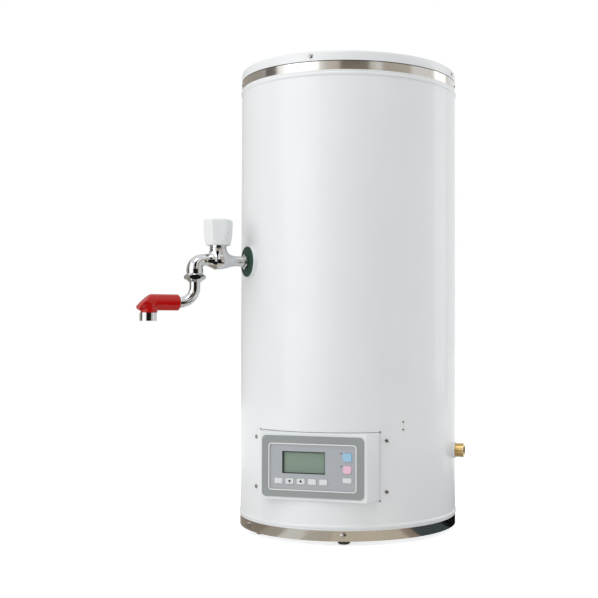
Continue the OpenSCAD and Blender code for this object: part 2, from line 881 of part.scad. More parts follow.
// Hairpin tubes through the flange, with a stud on each end
module heater_elements() {
    color("dimgray") hairpin_places() {
        for (side = [-1, 1]) translate([0, side * hairpin_half, 0]) {
            translate([0, 0, heater_flange_z - element_tail])
                cylinder(d = element_d, h = element_tail + heater_flange_t + element_h);
            translate([0, 0, heater_flange_z - element_tail - stud_l])
                cylinder(d = stud_d, h = stud_l);
        }
        translate([0, 0, heater_flange_z + heater_flange_t + element_h]) rotate([90, 0, 90])
            rotate_extrude(angle = 180) translate([hairpin_half, 0]) circle(d = element_d, $fn = 32);
    }
}

module thermostat_probe() {
    color("goldenrod") translate([0, 0, heater_flange_z]) {
        translate([0, 0, -probe_head_h]) cylinder(d = probe_head_d, h = probe_head_h);
        cylinder(d = probe_d, h = heater_flange_t + probe_h);
    }
}

// Button-shaped cut-out pressed against the lower dome, with two blades below
module overheat_cutout() {
    color("black") difference() {
        at(cutout_azimuth, 0, cutout_x) {
            translate([0, 0, tank_z - cutout_h / 2]) cylinder(d = cutout_d, h = cutout_h * 2);
            for (y = [-1, 1]) translate([-blade[0] / 2, y * cutout_d / 4, tank_z - cutout_h / 2 - blade[2]])
                cube(blade);
        }
        tank_half(0, -1);
    }
}

// Brass stub with a pipe thread outside, a collar inside and a socket for the inner pipe
module inlet_stub() {
    collar_x = body_r - bush_in - inlet_flange_t;
    thread_x = body_r + bush_out + thread_gap;
    color("goldenrod") at(inlet_azimuth, inlet_z) difference() {
        union() {
            translate([collar_x - inlet_tail, 0, 0]) outward()
                cylinder(r = inlet_r - inlet_relief, h = thread_x - collar_x + inlet_tail);
            translate([thread_x, 0, 0]) outward()
                cylinder(r = inlet_r, h = body_r + inlet_out - thread_x);
            translate([collar_x, 0, 0]) outward() cylinder(r = inlet_flange_r, h = inlet_flange_t);
        }
        translate([collar_x - inlet_tail - over, 0, 0]) outward()
            cylinder(r = inlet_bore_r, h = body_r + inlet_out);
        translate([collar_x - inlet_tail - over, 0, 0]) outward()
            cylinder(r = pipe_r + close_fit, h = inlet_tail + over);
    }
}

// White bush that lines the hole in the shell
module inlet_bush() {
    bush_r = inlet_r + fit + bush_wall;
    color("white") at(inlet_azimuth, inlet_z, body_r - bush_in) outward() difference() {
        union() {
            cylinder(r = bush_r, h = bush_in + bush_out);
            cylinder(r = inlet_flange_r, h = bush_flange_t);
        }
        translate([0, 0, -over]) cylinder(r = inlet_r + fit, h = bush_in + bush_out + 2 * over);
    }
}

// Pipe from the stub, round one bend, up into the tank's socket
module inlet_pipe() {
    collar_x = body_r - bush_in - inlet_flange_t;
    rise = pipe_end_z - inlet_z - pipe_bend_r;
    color("peru") at(inlet_azimuth, inlet_z) {
        difference() {
            union() {
                translate([pipe_x + pipe_bend_r, 0, 0]) outward()
                    cylinder(r = pipe_r, h = collar_x - pipe_x - pipe_bend_r);
                translate([pipe_x, 0, pipe_bend_r]) cylinder(r = pipe_r, h = rise);
            }
            translate([pipe_x + pipe_bend_r - lap, 0, 0]) outward()
                cylinder(r = pipe_r - pipe_wall, h = body_r);
            translate([pipe_x, 0, pipe_bend_r - lap]) cylinder(r = pipe_r - pipe_wall, h = body_r);
        }
        translate([pipe_x + pipe_bend_r, 0, pipe_bend_r]) rotate([90, 0, 0])
            rotate([0, 0, 180]) rotate_extrude(angle = 90) translate([pipe_bend_r, 0]) difference() {
                circle(r = pipe_r);
                circle(r = pipe_r - pipe_wall);
            }
    }
}

// Relay on the base plate, with four blades on its top
module power_relay() {
    color("darkslategray") translate([relay_x, relay_y, plate_z]) {
        translate([-relay_foot[0] / 2, -relay_foot[1] / 2, 0]) cube(relay_foot);
        translate([-relay_size[0] / 2, -relay_size[1] / 2, 0]) cube(relay_size);
        for (i = [0:relay_blades - 1])
            translate([(2 * i + 1 - relay_blades) * relay_blade_pitch / 2 - blade[0] / 2, 0,
                       relay_size[2]])
                cube(blade);
    }
}

// Mains terminal block, with a groove between two poles and a screw well on each side
module terminal_block() {
    pole = block_size[0] / block_poles;
    color("ivory") translate([block_x, block_y, plate_z]) difference() {
        translate([-block_size[0] / 2, -block_size[1] / 2, 0]) cube(block_size);
        for (i = [1:block_poles - 1])
            translate([i * pole - block_size[0] / 2 - block_groove_w / 2, -block_size[1] / 2 - over,
                       block_size[2] - block_groove_depth])
                cube([block_groove_w, block_size[1] + 2 * over, block_groove_depth + over]);
        for (i = [0:block_poles - 1], y = [-1, 1])
            translate([(2 * i + 1) * pole / 2 - block_size[0] / 2, y * block_size[1] / 4,
                       block_size[2] - block_screw_depth])
                cylinder(d = block_screw_d, h = block_screw_depth + over);
    }
}

// Cable gland with an open bore: hexagon and round nut outside, tail inside
module cable_gland() {
    color("black") at(gland_azimuth, base_z + gland_z_rise, body_r) outward() difference() {
        union() {
            translate([0, 0, -gland_in]) cylinder(r = gland_r, h = gland_in + gland_hex_t);
            hexagon(gland_hex_af, gland_hex_t);
            translate([0, 0, gland_hex_t])
                cylinder(r1 = gland_dome_r, r2 = gland_nose_r, h = gland_dome_l);
        }
        translate([0, 0, -gland_in - over])
            cylinder(r = gland_bore_r, h = gland_in + gland_hex_t + gland_dome_l + 2 * over);
    }
}

// Plan of the control box, from its flat front back to the flange, made smaller by inset
module box_plan(inset = 0) {
    front_y = face_y - inset;
    front_x = box_face_w / 2 - inset;
    root_x = front_x + (face_y - box_root_y) * box_lean;
    r = bend_r - inset;
    side_angle = 90 + atan(box_lean);
    tangent = r / tan(side_angle / 2);
    side_x = front_x + tangent * sin(side_angle - 90);
    side_y = front_y - tangent * cos(side_angle - 90);
    centre_x = front_x - tangent;
    polygon([[-root_x, -box_root_y], [-side_x, -side_y], [-centre_x, -front_y],
             [centre_x, -front_y], [side_x, -side_y], [root_x, -box_root_y]]);
    for (side = [-1, 1]) translate([side * centre_x, r - front_y]) circle(r = r, $fn = 48);
}

// Folded sheet box with a curved flange on each side, screwed to the inside of the shell
module control_cover() {
    lower_z = box_z + box_gap;
    height = box_h - 2 * box_gap;
    root_angle = atan((box_edge_x - box_wall) / box_edge_y);
    color("whitesmoke") difference() {
        union() {
            difference() {
                translate([0, 0, lower_z]) linear_extrude(height) box_plan();
                translate([0, 0, lower_z + box_wall])
                    linear_extrude(height - 2 * box_wall) union() {
                        box_plan(box_wall);
                        translate([-box_face_w / 2, -box_root_y - over]) square([box_face_w, 2 * over]);
                    }
                translate([0, 0, lower_z - over])
                    cylinder(r = flange_in_r, h = height + 2 * over, $fn = 180);
            }
            for (side = [-1, 1]) intersection() {
                translate([0, 0, lower_z]) tube(flange_r, box_wall, height);
                translate([0, 0, lower_z]) linear_extrude(height)
                    polygon([[0, 0], body_d * [side * sin(root_angle), -cos(root_angle)],
                             body_d * [side * sin(flange_angle), -cos(flange_angle)]]);
            }
        }
        on_panel(0, 0, -bend_r) linear_extrude(2 * bend_r)
            round_rect(case_w + 2 * case_gap, case_h + 2 * case_gap, case_corner + case_gap);
        screw_holes(cover_azimuths, cover_screw_zs, small_shank_d);
    }
}

module cover_screws() {
    color("dimgray") screws(cover_azimuths, cover_screw_zs, cover_head_d, cover_head_h,
                            small_shank_d, small_shank_l);
}

// Grey frame in front of the box, with the controller's case behind it
module bezel() {
    color("darkgray") difference() {
        union() {
            on_panel() linear_extrude(bezel_t) round_rect(bezel_w, bezel_h, bezel_corner);
            on_panel(0, plate_shift, bezel_t) linear_extrude(lip_t)
                round_rect(plate_w + 2 * lip_w, plate_h + 2 * lip_w, plate_corner + lip_w);
            on_panel(0, 0, -case_depth) linear_extrude(case_depth)
                round_rect(case_w, case_h, case_corner);
        }
        on_panel(0, plate_shift, plate_back) linear_extrude(2 * over)
            round_rect(plate_w + 2 * fit, plate_h + 2 * fit, plate_corner);
        on_panel(0, plate_shift, plate_back - ledge_t - over) linear_extrude(2 * over)
            round_rect(plate_w - 2 * ledge_w, plate_h - 2 * ledge_w, plate_corner);
        difference() {
            on_panel(0, 0, -case_depth - over) linear_extrude(case_depth + over + plate_back - ledge_t)
                round_rect(case_w - 2 * case_wall, case_h - 2 * case_wall, case_corner / 2);
            for (x = [-1, 1], y = [-1, 1]) on_panel(x * post_x, y * post_y, pcb_front)
                cylinder(r = post_r, h = -pcb_front);
        }
    }
}

module key_hole(x, y, size, corner) {
    translate([x, y]) round_rect(size[0] + 2 * key_rim, size[1] + 2 * key_rim, corner + key_rim);
}

// Plate with the display's window, eight key holes and two lamp holes
module panel_plate() {
    color("lightslategray") on_panel(0, 0, plate_back) linear_extrude(plate_t) difference() {
        translate([0, plate_shift]) round_rect(plate_w, plate_h, plate_corner);
        translate([lcd_x, lcd_y]) square([lcd_w, lcd_h], center = true);
        for (i = [0:row_steps]) key_hole(row_x + i * row_pitch, row_y, row_key, key_corner);
        key_hole(column_x, blue_y, blue_key, key_corner);
        key_hole(column_x, pink_y, pink_key, pink_corner);
        key_hole(column_x, white_y, white_key, key_corner);
        for (y = lamp_ys) translate([lamp_x, y]) circle(d = lamp_d, $fn = 32);
    }
}

module lcd_module() {
    color("darkseagreen") on_panel(lcd_x, lcd_y, pcb_front) linear_extrude(lcd_front - pcb_front)
        square([lcd_w + 2 * lcd_border, lcd_h + 2 * lcd_border], center = true);
}

// Rubber mat under the keys, open where the display stands
module key_mat() {
    color("gray") on_panel(0, plate_shift, pcb_front) linear_extrude(mat_t) difference() {
        round_rect(mat_w, mat_h, plate_corner);
        translate([lcd_x, lcd_y - plate_shift])
            square([lcd_w + 2 * lcd_border + 2 * fit, lcd_h + 2 * lcd_border + 2 * fit], center = true);
    }
}

// Board with a few of its parts on the back
module control_pcb() {
    color("darkgreen") on_panel(0, 0, pcb_back) {
        linear_extrude(pcb_t) round_rect(pcb_w, pcb_h, case_corner / 2);
        translate([chip_x, 0, -chip_size[2]]) linear_extrude(chip_size[2])
            square([chip_size[0], chip_size[1]], center = true);
        translate([relay_chip_x, relay_chip_y, -relay_chip_size[2]])
            linear_extrude(relay_chip_size[2])
                square([relay_chip_size[0], relay_chip_size[1]], center = true);
        for (i = [0:cans - 1]) translate([can_x + i * can_pitch, can_y, -can_h])
            cylinder(d = can_d, h = can_h);
    }
}

// Back of the controller's case, with a rim inside the case and four posts behind the board
module controller_back() {
    rim_w = case_w - 2 * case_wall - 2 * fit;
    rim_h = case_h - 2 * case_wall - 2 * fit;
    color("dimgray") difference() {
        union() {
            on_panel(0, 0, -case_depth - back_t) linear_extrude(back_t)
                round_rect(case_w, case_h, case_corner);
            on_panel(0, 0, -case_depth) linear_extrude(back_lip) difference() {
                round_rect(rim_w, rim_h, case_corner / 2);
                square([rim_w - 2 * case_wall, rim_h - 2 * case_wall], center = true);
            }
            for (x = [-1, 1], y = [-1, 1]) on_panel(x * post_x, y * post_y, -case_depth)
                cylinder(r = post_r, h = case_depth + pcb_back);
        }
        on_panel(0, case_h / 4, -case_depth - back_t - over)
            cylinder(d = back_hole_d, h = back_t + 2 * over);
    }
}

// Key cap with a flange behind the plate
module key_cap(x, y, size, corner) {
    on_panel(x, y, key_flange_z) {
        linear_extrude(key_flange_t)
            round_rect(size[0] + 2 * key_flange, size[1] + 2 * key_flange, corner);
        linear_extrude(plate_front + key_proud - key_flange_z) round_rect(size[0], size[1], corner);
    }
}

module row_key_cap(i) {
    color("white") key_cap(row_x + i * row_pitch, row_y, row_key, key_corner);
}

// Row key with a sunk triangle that points up or down
module arrow_key_cap(i, up) {
    color("white") difference() {
        key_cap(row_x + i * row_pitch, row_y, row_key, key_corner);
        on_panel(row_x + i * row_pitch, row_y, plate_front + key_proud - mark_depth)
            linear_extrude(over) polygon(mark_w / 2 * [[-1, -up], [1, -up], [0, up]]);
    }
}

module key_mode() row_key_cap(0);
module key_down() arrow_key_cap(1, -1);
module key_up() arrow_key_cap(2, 1);
module key_set() row_key_cap(3);
module key_clear() row_key_cap(4);
module key_blue() color("skyblue") key_cap(column_x, blue_y, blue_key, key_corner);
module key_pink() color("pink") key_cap(column_x, pink_y, pink_key, pink_corner);
module key_white() color("white") key_cap(column_x, white_y, white_key, key_corner);

// Flared round seat, cut to the curve of the shell
module tap_seat() {
    color("white") difference() {
        at(tap_azimuth, tap_z, body_r + seat_h - seat_depth) outward()
            cylinder(r1 = seat_foot_r, r2 = seat_face_r, h = seat_depth);
        cylinder(r = body_r, h = cap_top, $fn = 180);
        at(tap_azimuth, tap_z, body_r - over) outward() cylinder(r = tail_r + fit, h = seat_h + 2 * over);
    }
}

module tap_gasket() {
    color("darkgreen") at(tap_azimuth, tap_z, body_r + seat_h) outward() difference() {
        cylinder(r = gasket_r, h = gasket_t);
        translate([0, 0, -over]) cylinder(r = tail_r + fit, h = gasket_t + 2 * over);
    }
}

// Hexagon between two cones, which bevel its corners
module bevelled_hexagon(af, h, foot_r, foot_h, top_r, top_h) {
    corner_r = af / 2 / cos(30);
    intersection() {
        hexagon(af, h);
        union() {
            cylinder(r1 = foot_r, r2 = corner_r, h = foot_h);
            translate([0, 0, foot_h]) cylinder(r = corner_r, h = h - foot_h - top_h);
            translate([0, 0, h - top_h]) cylinder(r1 = corner_r, r2 = top_r, h = top_h);
        }
    }
}

module tap_locknut() {
    color("silver") at(tap_azimuth, tap_z, nut_x) outward() difference() {
        bevelled_hexagon(nut_af, nut_h, nut_foot_r, nut_bevel / 4, nut_af / 2, nut_bevel);
        translate([0, 0, -over]) cylinder(r = arm_r + close_fit, h = nut_h + 2 * over);
    }
}

// Places a piece on the tap, with X = 0 at the tank's axis and z = 0 at the arm
module on_tap() {
    at(tap_azimuth, tap_z) children();
}

// Body of the tap: tail, arm, round valve body, branch, elbow and threaded outlet
module tap_body() {
    color("silver") on_tap() difference() {
        union() {
            translate([body_r - tail_in, 0, 0]) outward()
                cylinder(r = tail_r, h = nut_x - body_r + tail_in);
            translate([nut_x, 0, 0]) outward() cylinder(r = arm_r, h = spindle_x - nut_x);
            translate([spindle_x, 0, 0]) {
                cylinder(r = neck_r, h = neck_top);
                intersection() {
                    translate([0, 0, -belly_drop - over]) cylinder(r = belly_r, h = belly_drop + over);
                    translate([0, 0, belly_ball_r - belly_drop]) sphere(r = belly_ball_r);
                }
                intersection() {
                    translate([0, 0, flare_z])
                        cylinder(r1 = neck_r + neck_flare, r2 = neck_r, h = flare_h);
                    translate([-neck_r - neck_flare, -arm_r, 0])
                        cube([2 * (neck_r + neck_flare), arm_d, neck_top]);
                }
            }
            translate([spindle_x, 0, 0]) outward() cylinder(r = branch_r, h = outlet_reach - elbow_r);
            translate([outlet_x - elbow_r, 0, -elbow_r]) rotate([90, 0, 0])
                rotate_extrude(angle = 90) translate([elbow_r, 0]) circle(r = elbow_tube_r);
            translate([outlet_x, 0, socket_top])
                cylinder(r1 = socket_r, r2 = socket_neck_r, h = socket_neck_z - socket_top);
            translate([outlet_x, 0, socket_foot]) cylinder(r = socket_r, h = socket_top - socket_foot);
            translate([outlet_x, 0, thread_foot]) cylinder(r = thread_r, h = socket_foot - thread_foot);
        }
        translate([body_r - tail_in - over, 0, arm_bore_z]) outward()
            cylinder(r = arm_bore_r, h = spindle_x - body_r + tail_in + over);
        translate([spindle_x, 0, valve_seat_z]) cylinder(r = chamber_r, h = neck_top);
        translate([spindle_x, 0, port_floor]) cylinder(r = port_r, h = valve_seat_z - port_floor + over);
        translate([spindle_x + branch_bore_x, 0, branch_bore_z]) outward()
            cylinder(r = arm_bore_r, h = outlet_reach - branch_bore_x);
        translate([outlet_x, 0, thread_foot - over])
            cylinder(r = outlet_bore_r, h = outlet_bore_top - thread_foot + over);
        translate([outlet_x, 0, thread_foot - over])
            cylinder(r = spout_r + fit, h = spout_top + fit - thread_foot + over);
    }
}

// Nut that closes the valve body: it holds the packing and guides the spindle
module bonnet_nut() {
    color("silver") on_tap() translate([spindle_x, 0, 0]) difference() {
        union() {
            translate([0, 0, neck_top]) cylinder(r = neck_r, h = bonnet_h);
            translate([0, 0, bonnet_plug_z])
                cylinder(r = chamber_r - close_fit, h = neck_top - bonnet_plug_z);
        }
        cylinder(r = spindle_r + fit, h = neck_top + bonnet_h + over);
        translate([0, 0, packing_z]) cylinder(r = packing_r, h = neck_top + bonnet_h);
    }
}

module gland_packing() {
    color("darkslategray") on_tap() translate([spindle_x, 0, packing_z]) difference() {
        cylinder(r = packing_r - close_fit, h = neck_top + bonnet_h - packing_z);
        translate([0, 0, -over]) cylinder(r = spindle_r + fit, h = bonnet_h + 2 * over);
    }
}

// Spindle with a guide hole for the valve disc below and a tapped hole above
module spindle() {
    color("goldenrod") on_tap() translate([spindle_x, 0, 0]) difference() {
        translate([0, 0, spindle_foot]) cylinder(r = spindle_r, h = spindle_head_z - spindle_foot);
        cylinder(r = jumper_r + fit, h = spindle_foot + jumper_l + jumper_room);
        translate([0, 0, spindle_head_z - screw_l]) cylinder(r = screw_r + close_fit, h = screw_l + over);
    }
}

module valve_disc() {
    color("goldenrod") on_tap() translate([spindle_x, 0, valve_seat_z + washer_t]) {
        cylinder(r = washer_r, h = disc_t);
        cylinder(r = jumper_r, h = disc_t + jumper_l);
    }
}

module valve_washer() {
    color("black") on_tap() translate([spindle_x, 0, valve_seat_z])
        cylinder(r = washer_r, h = washer_t);
}

// Outline of the handle from its middle to its rim, swelling quickly from the foot
module handle_outline() {
    r = handle_d / 2;
    side_h = handle_h - handle_crown_r;
    square([r - handle_crown_r, handle_h]);
    polygon(concat([[0, side_h], [0, 0]], [for (i = [0:handle_steps]) let (t = i / handle_steps)
        [handle_foot_r + (r - handle_foot_r) * (1 - (1 - t) * (1 - t)), t * side_h]]));
    translate([r - handle_crown_r, handle_h - handle_crown_r]) circle(r = handle_crown_r, $fn = 48);
}

// Six-sided handle: the flats run out at the foot, where the handle is round
module handle() {
    flat_r = handle_d / 2 * handle_flat_share;
    color("white") on_tap() translate([spindle_x, 0, handle_z]) difference() {
        rotate_extrude() handle_outline();
        for (i = [0:handle_flats - 1]) rotate([0, 0, handle_flat_angle + i * 360 / handle_flats])
            translate([flat_r, -handle_d, handle_h]) rotate([0, handle_flat_lean, 0])
                translate([0, 0, -2 * handle_h]) cube([handle_d, 2 * handle_d, 3 * handle_h]);
        difference() {
            translate([0, 0, -over]) cylinder(r = skirt_bore_r, h = skirt_bore_h + over);
            translate([0, 0, skirt_bore_h - hub_drop]) cylinder(r = hub_r, h = hub_drop + over);
        }
        translate([0, 0, -over])
            cylinder(r = spindle_r + close_fit, h = spindle_head_z - handle_z + over);
        cylinder(r = screw_r + fit, h = handle_h);
        translate([0, 0, spindle_head_z - handle_z + screw_floor])
            cylinder(r = screw_head_r + fit, h = handle_h);
        translate([0, 0, handle_h - cap_recess_h]) cylinder(r = cap_recess_r + fit, h = over);
    }
}

module handle_screw() {
    color("silver") on_tap() translate([spindle_x, 0, spindle_head_z + screw_floor])
        screw(2 * screw_head_r, screw_head_h, 2 * screw_r, screw_l);
}

module handle_cap() {
    color("white") on_tap() translate([spindle_x, 0, handle_z + handle_h - cap_recess_h])
        cylinder(r = cap_recess_r, h = cap_recess_h);
}

// Nut under the outlet, whose lip carries the spout
module spout_nut() {
    color("silver") on_tap() translate([outlet_x, 0, spout_nut_foot]) difference() {
        bevelled_hexagon(spout_nut_af, socket_foot - spout_nut_foot, spout_nut_lower_r,
                         spout_nut_lower_h, spout_nut_top_r, spout_nut_top_h);
        translate([0, 0, -over]) cylinder(r = spout_r + fit, h = 3 * over);
        translate([0, 0, spout_lip]) cylinder(r = thread_r + close_fit, h = 3 * over);
    }
}

module spout_seal() {
    color("black") on_tap() translate([outlet_x, 0, thread_foot - seal_t]) difference() {
        cylinder(r = thread_r - fit, h = seal_t);
        translate([0, 0, -over]) cylinder(r = spout_r + fit, h = seal_t + 2 * over);
    }
}

// Quarter bend of a pipe: it starts level at z = 0 and ends upright, down by the bend's radius
module bend_down(bend_r, r) {
    translate([0, 0, -bend_r]) rotate([90, 0, 0])
        rotate_extrude(angle = 90) translate([bend_r, 0]) circle(r = r);
}

// Spout: collar in the nut, down, round a bend, out level, and down to the nozzle
module spout_pipe() {
    lip_top = spout_nut_foot + spout_lip;
    leg_foot = nozzle_z - nozzle_screw_l;
    leg_top = -spout_drop - nose_bend_r;
    run = spout_reach - spout_bend_r - nose_bend_r;
    color("silver") on_tap() {
        difference() {
            union() {
                translate([outlet_x, 0, spout_bend_r - spout_drop])
                    cylinder(r = spout_r, h = spout_top + spout_drop - spout_bend_r);
                translate([outlet_x, 0, lip_top + fit]) cylinder(r = spout_collar_r, h = spout_collar_t);
                translate([outlet_x + spout_bend_r, 0, -spout_drop]) outward()
                    cylinder(r = spout_r, h = run);
                translate([nozzle_x, 0, leg_foot]) cylinder(r = spout_r, h = leg_top - leg_foot);
            }
            translate([outlet_x, 0, spout_bend_r - spout_drop - lap])
                cylinder(r = spout_bore_r, h = spout_drop);
            translate([outlet_x + spout_bend_r - lap, 0, -spout_drop]) outward()
                cylinder(r = spout_bore_r, h = run + 2 * lap);
            translate([nozzle_x, 0, leg_foot - over])
                cylinder(r = spout_bore_r, h = leg_top - leg_foot + over + lap);
        }
        translate([outlet_x + spout_bend_r, 0, spout_bend_r - spout_drop]) rotate([90, 0, 0])
            rotate([0, 0, 180]) rotate_extrude(angle = 90) translate([spout_bend_r, 0]) difference() {
                circle(r = spout_r);
                circle(r = spout_bore_r);
            }
        difference() {
            translate([nozzle_x - nose_bend_r, 0, -spout_drop]) bend_down(nose_bend_r, spout_r);
            translate([nozzle_x - nose_bend_r, 0, -spout_drop]) bend_down(nose_bend_r, spout_bore_r);
        }
    }
}

// Moulded cover on the spout: a round sleeve with a slanted nose and a boss over the nozzle
module spout_cover() {
    top_z = cover_r;
    color("red") on_tap() difference() {
        union() {
            intersection() {
                union() {
                    translate([cover_start, 0, -spout_drop]) outward()
                        cylinder(r1 = cover_r - cover_chamfer, r2 = cover_r, h = cover_chamfer);
                    translate([cover_start + cover_chamfer, 0, -spout_drop]) outward()
                        cylinder(r = cover_r, h = nozzle_x + cover_tip - cover_start - cover_chamfer);
                }
                translate([0, cover_d, -spout_drop]) rotate([90, 0, 0]) linear_extrude(2 * cover_d)
                    polygon([[cover_start, -cover_r - over], [cover_start, top_z + over],
                             [nozzle_x - cover_brow, top_z + over], [nozzle_x - cover_brow, top_z],
                             [nozzle_x + cover_tip, -cover_tip_drop],
                             [nozzle_x + cover_under, -cover_r - over]]);
            }
            translate([nozzle_x - boss_shift, 0, nozzle_z])
                cylinder(r = boss_r, h = -spout_drop - nozzle_z);
        }
        translate([cover_start - over, 0, -spout_drop]) outward()
            cylinder(r = spout_r + close_fit, h = nozzle_x - nose_bend_r - cover_start + over);
        translate([nozzle_x - nose_bend_r, 0, -spout_drop]) bend_down(nose_bend_r, spout_r + close_fit);
        translate([nozzle_x, 0, nozzle_z - over])
            cylinder(r = spout_r + close_fit, h = -spout_drop - nose_bend_r - nozzle_z + over);
    }
}

// Round nozzle screwed on the spout's end, with a disc of small jets inside
module nozzle() {
    jet_rows = 2;
    color("silver") on_tap() translate([nozzle_x, 0, nozzle_z - nozzle_h]) difference() {
        cylinder(r = nozzle_r, h = nozzle_h);
        translate([0, 0, nozzle_h - nozzle_screw_l])
            cylinder(r = spout_r + close_fit, h = nozzle_screw_l + over);
        translate([0, 0, -over])
            cylinder(r = nozzle_r - nozzle_wall, h = nozzle_h - nozzle_screw_l - nozzle_floor + over);
        for (x = [-jet_rows:jet_rows], y = [-jet_rows:jet_rows]) if (norm([x, y]) * jet_pitch < spout_r)
            translate([x * jet_pitch, y * jet_pitch, 0])
                cylinder(d = jet_d, h = nozzle_h, $fn = 24);
    }
}

outer_shell();
top_cap();
top_ring();
top_band();
base_band();
base_plate();
rubber_feet();
foot_bolts();
cap_screws();
band_screws();
band_rivets();
side_rivets();
inner_tank();
insulation();
tank_stand();
heater_flange();
heater_gasket();
heater_bolts();
heater_elements();
thermostat_probe();
overheat_cutout();
inlet_stub();
inlet_bush();
inlet_pipe();
power_relay();
terminal_block();
cable_gland();
control_cover();
cover_screws();
bezel();
panel_plate();
lcd_module();
key_mat();
control_pcb();
controller_back();
key_mode();
key_down();
key_up();
key_set();
key_clear();
key_blue();
key_pink();
key_white();
tap_seat();
tap_gasket();
tap_locknut();
tap_body();
bonnet_nut();
gland_packing();
spindle();
valve_disc();
valve_washer();
handle();
handle_screw();
handle_cap();
spout_nut();
spout_seal();
spout_pipe();
spout_cover();
nozzle();
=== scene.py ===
"""Looks for the electric water boiler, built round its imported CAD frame."""
import json
import math

import bmesh
import bpy
import numpy as np
from mathutils import Matrix, Vector


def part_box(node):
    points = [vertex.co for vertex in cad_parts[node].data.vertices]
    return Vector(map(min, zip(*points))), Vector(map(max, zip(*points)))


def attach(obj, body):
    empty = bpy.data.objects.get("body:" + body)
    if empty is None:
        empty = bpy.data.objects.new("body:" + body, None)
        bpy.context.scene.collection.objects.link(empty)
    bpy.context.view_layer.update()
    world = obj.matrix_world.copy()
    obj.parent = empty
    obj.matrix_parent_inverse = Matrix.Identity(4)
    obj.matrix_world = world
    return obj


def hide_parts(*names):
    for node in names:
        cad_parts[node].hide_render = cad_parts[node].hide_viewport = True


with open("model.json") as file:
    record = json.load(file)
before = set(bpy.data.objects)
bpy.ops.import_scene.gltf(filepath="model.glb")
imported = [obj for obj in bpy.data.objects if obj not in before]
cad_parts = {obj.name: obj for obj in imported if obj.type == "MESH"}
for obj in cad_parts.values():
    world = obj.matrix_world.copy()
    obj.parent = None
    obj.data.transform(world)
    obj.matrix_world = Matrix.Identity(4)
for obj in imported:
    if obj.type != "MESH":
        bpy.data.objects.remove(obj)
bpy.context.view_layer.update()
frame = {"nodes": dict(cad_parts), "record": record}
NODES = frame["nodes"]
BODIES = frame["record"]["behaviour"]["bodies"]
BODY_OF = {node: body for body, members in BODIES.items() for node in members}
SLOT_OF = {part["node"]: part["material_slot"] for part in frame["record"]["subparts"]}

# The frame, the camera and the studio are in metres, and the new pieces in millimetres
MM = 0.001
FULL_TURN = 2 * math.pi
TANK_MIDDLE, TANK_AXIS = (0, 0, 0), (0, 0, 1)

# Camera, solved from the rims of the cylinder in the photo; TURN is how far round from the panel it stands
TURN = math.radians(17.2)
YAW, PITCH, ROLL = (math.radians(angle) for angle in (1.15, 1.63, 0.08))
CAMERA_AWAY, CAMERA_HEIGHT = 1.70901, 0.31609
LENS, SENSOR = 64.325, 36
SHIFT_ACROSS, SHIFT_UP = -0.11845, -0.00585
CLIP_NEAR, CLIP_FAR = 0.05, 60


def make_camera():
    """The photo's camera, its place turned round the tank from the panel."""
    forward = Vector((math.sin(YAW) * math.cos(PITCH), math.cos(YAW) * math.cos(PITCH), math.sin(PITCH)))
    side = Vector((math.cos(YAW), -math.sin(YAW), 0))
    above = side.cross(forward)
    right = math.cos(ROLL) * side + math.sin(ROLL) * above
    up = -math.sin(ROLL) * side + math.cos(ROLL) * above
    place = Matrix((right, up, -forward)).transposed().to_4x4()
    place.translation = Vector((0, -CAMERA_AWAY, CAMERA_HEIGHT))
    data = bpy.data.cameras.new("photo_camera")
    data.lens, data.sensor_width, data.sensor_fit = LENS, SENSOR, "HORIZONTAL"
    data.shift_x, data.shift_y = SHIFT_ACROSS, SHIFT_UP
    data.clip_start, data.clip_end = CLIP_NEAR, CLIP_FAR
    camera = bpy.data.objects.new("photo_camera", data)
    bpy.context.scene.collection.objects.link(camera)
    camera.matrix_world = Matrix.Rotation(TURN, 4, "Z") @ place
    bpy.context.scene.camera = camera


make_camera()
bpy.context.scene.view_settings.view_transform = "Standard"

# Shader groups that the materials share
FLOAT, COLOR, VECTOR = "NodeSocketFloat", "NodeSocketColor", "NodeSocketVector"
EVEN = (1, 1, 1)
BROAD_DETAIL, RELIEF_DETAIL, SPECK_DETAIL = 3.0, 2.0, 1.0
# The parts of the noise's range that carry a change
GLOSS_SPAN, TINT_SPAN, SPECK_SPAN = (0.3, 0.7), (0.35, 0.65), (0.55, 0.75)


def new_group(name, inputs, outputs):
    """An empty shader group with its named inputs and outputs."""
    tree = bpy.data.node_groups.new(name, "ShaderNodeTree")
    for label, kind, value in inputs:
        item = tree.interface.new_socket(label, in_out="INPUT", socket_type=kind)
        if value is not None:
            item.default_value = value
    for label, kind in outputs:
        tree.interface.new_socket(label, in_out="OUTPUT", socket_type=kind)
    return tree, tree.nodes.new("NodeGroupInput"), tree.nodes.new("NodeGroupOutput")


def set_inputs(node, values):
    """Sets a node's inputs by their names."""
    for label, value in values.items():
        node.inputs[label].default_value = value


def object_noise(tree, scale_from, stretch_from=None, detail=BROAD_DETAIL):
    """Noise in the object's own coordinates, with its scale and stretch read from group inputs."""
    coordinates = tree.nodes.new("ShaderNodeTexCoord")
    noise = tree.nodes.new("ShaderNodeTexNoise")
    noise.inputs["Detail"].default_value = detail
    vector = coordinates.outputs["Object"]
    if stretch_from is not None:
        stretch = tree.nodes.new("ShaderNodeVectorMath")
        stretch.operation = "MULTIPLY"
        tree.links.new(vector, stretch.inputs[0])
        tree.links.new(stretch_from, stretch.inputs[1])
        vector = stretch.outputs[0]
    tree.links.new(vector, noise.inputs["Vector"])
    tree.links.new(scale_from, noise.inputs["Scale"])
    return noise.outputs["Fac"]


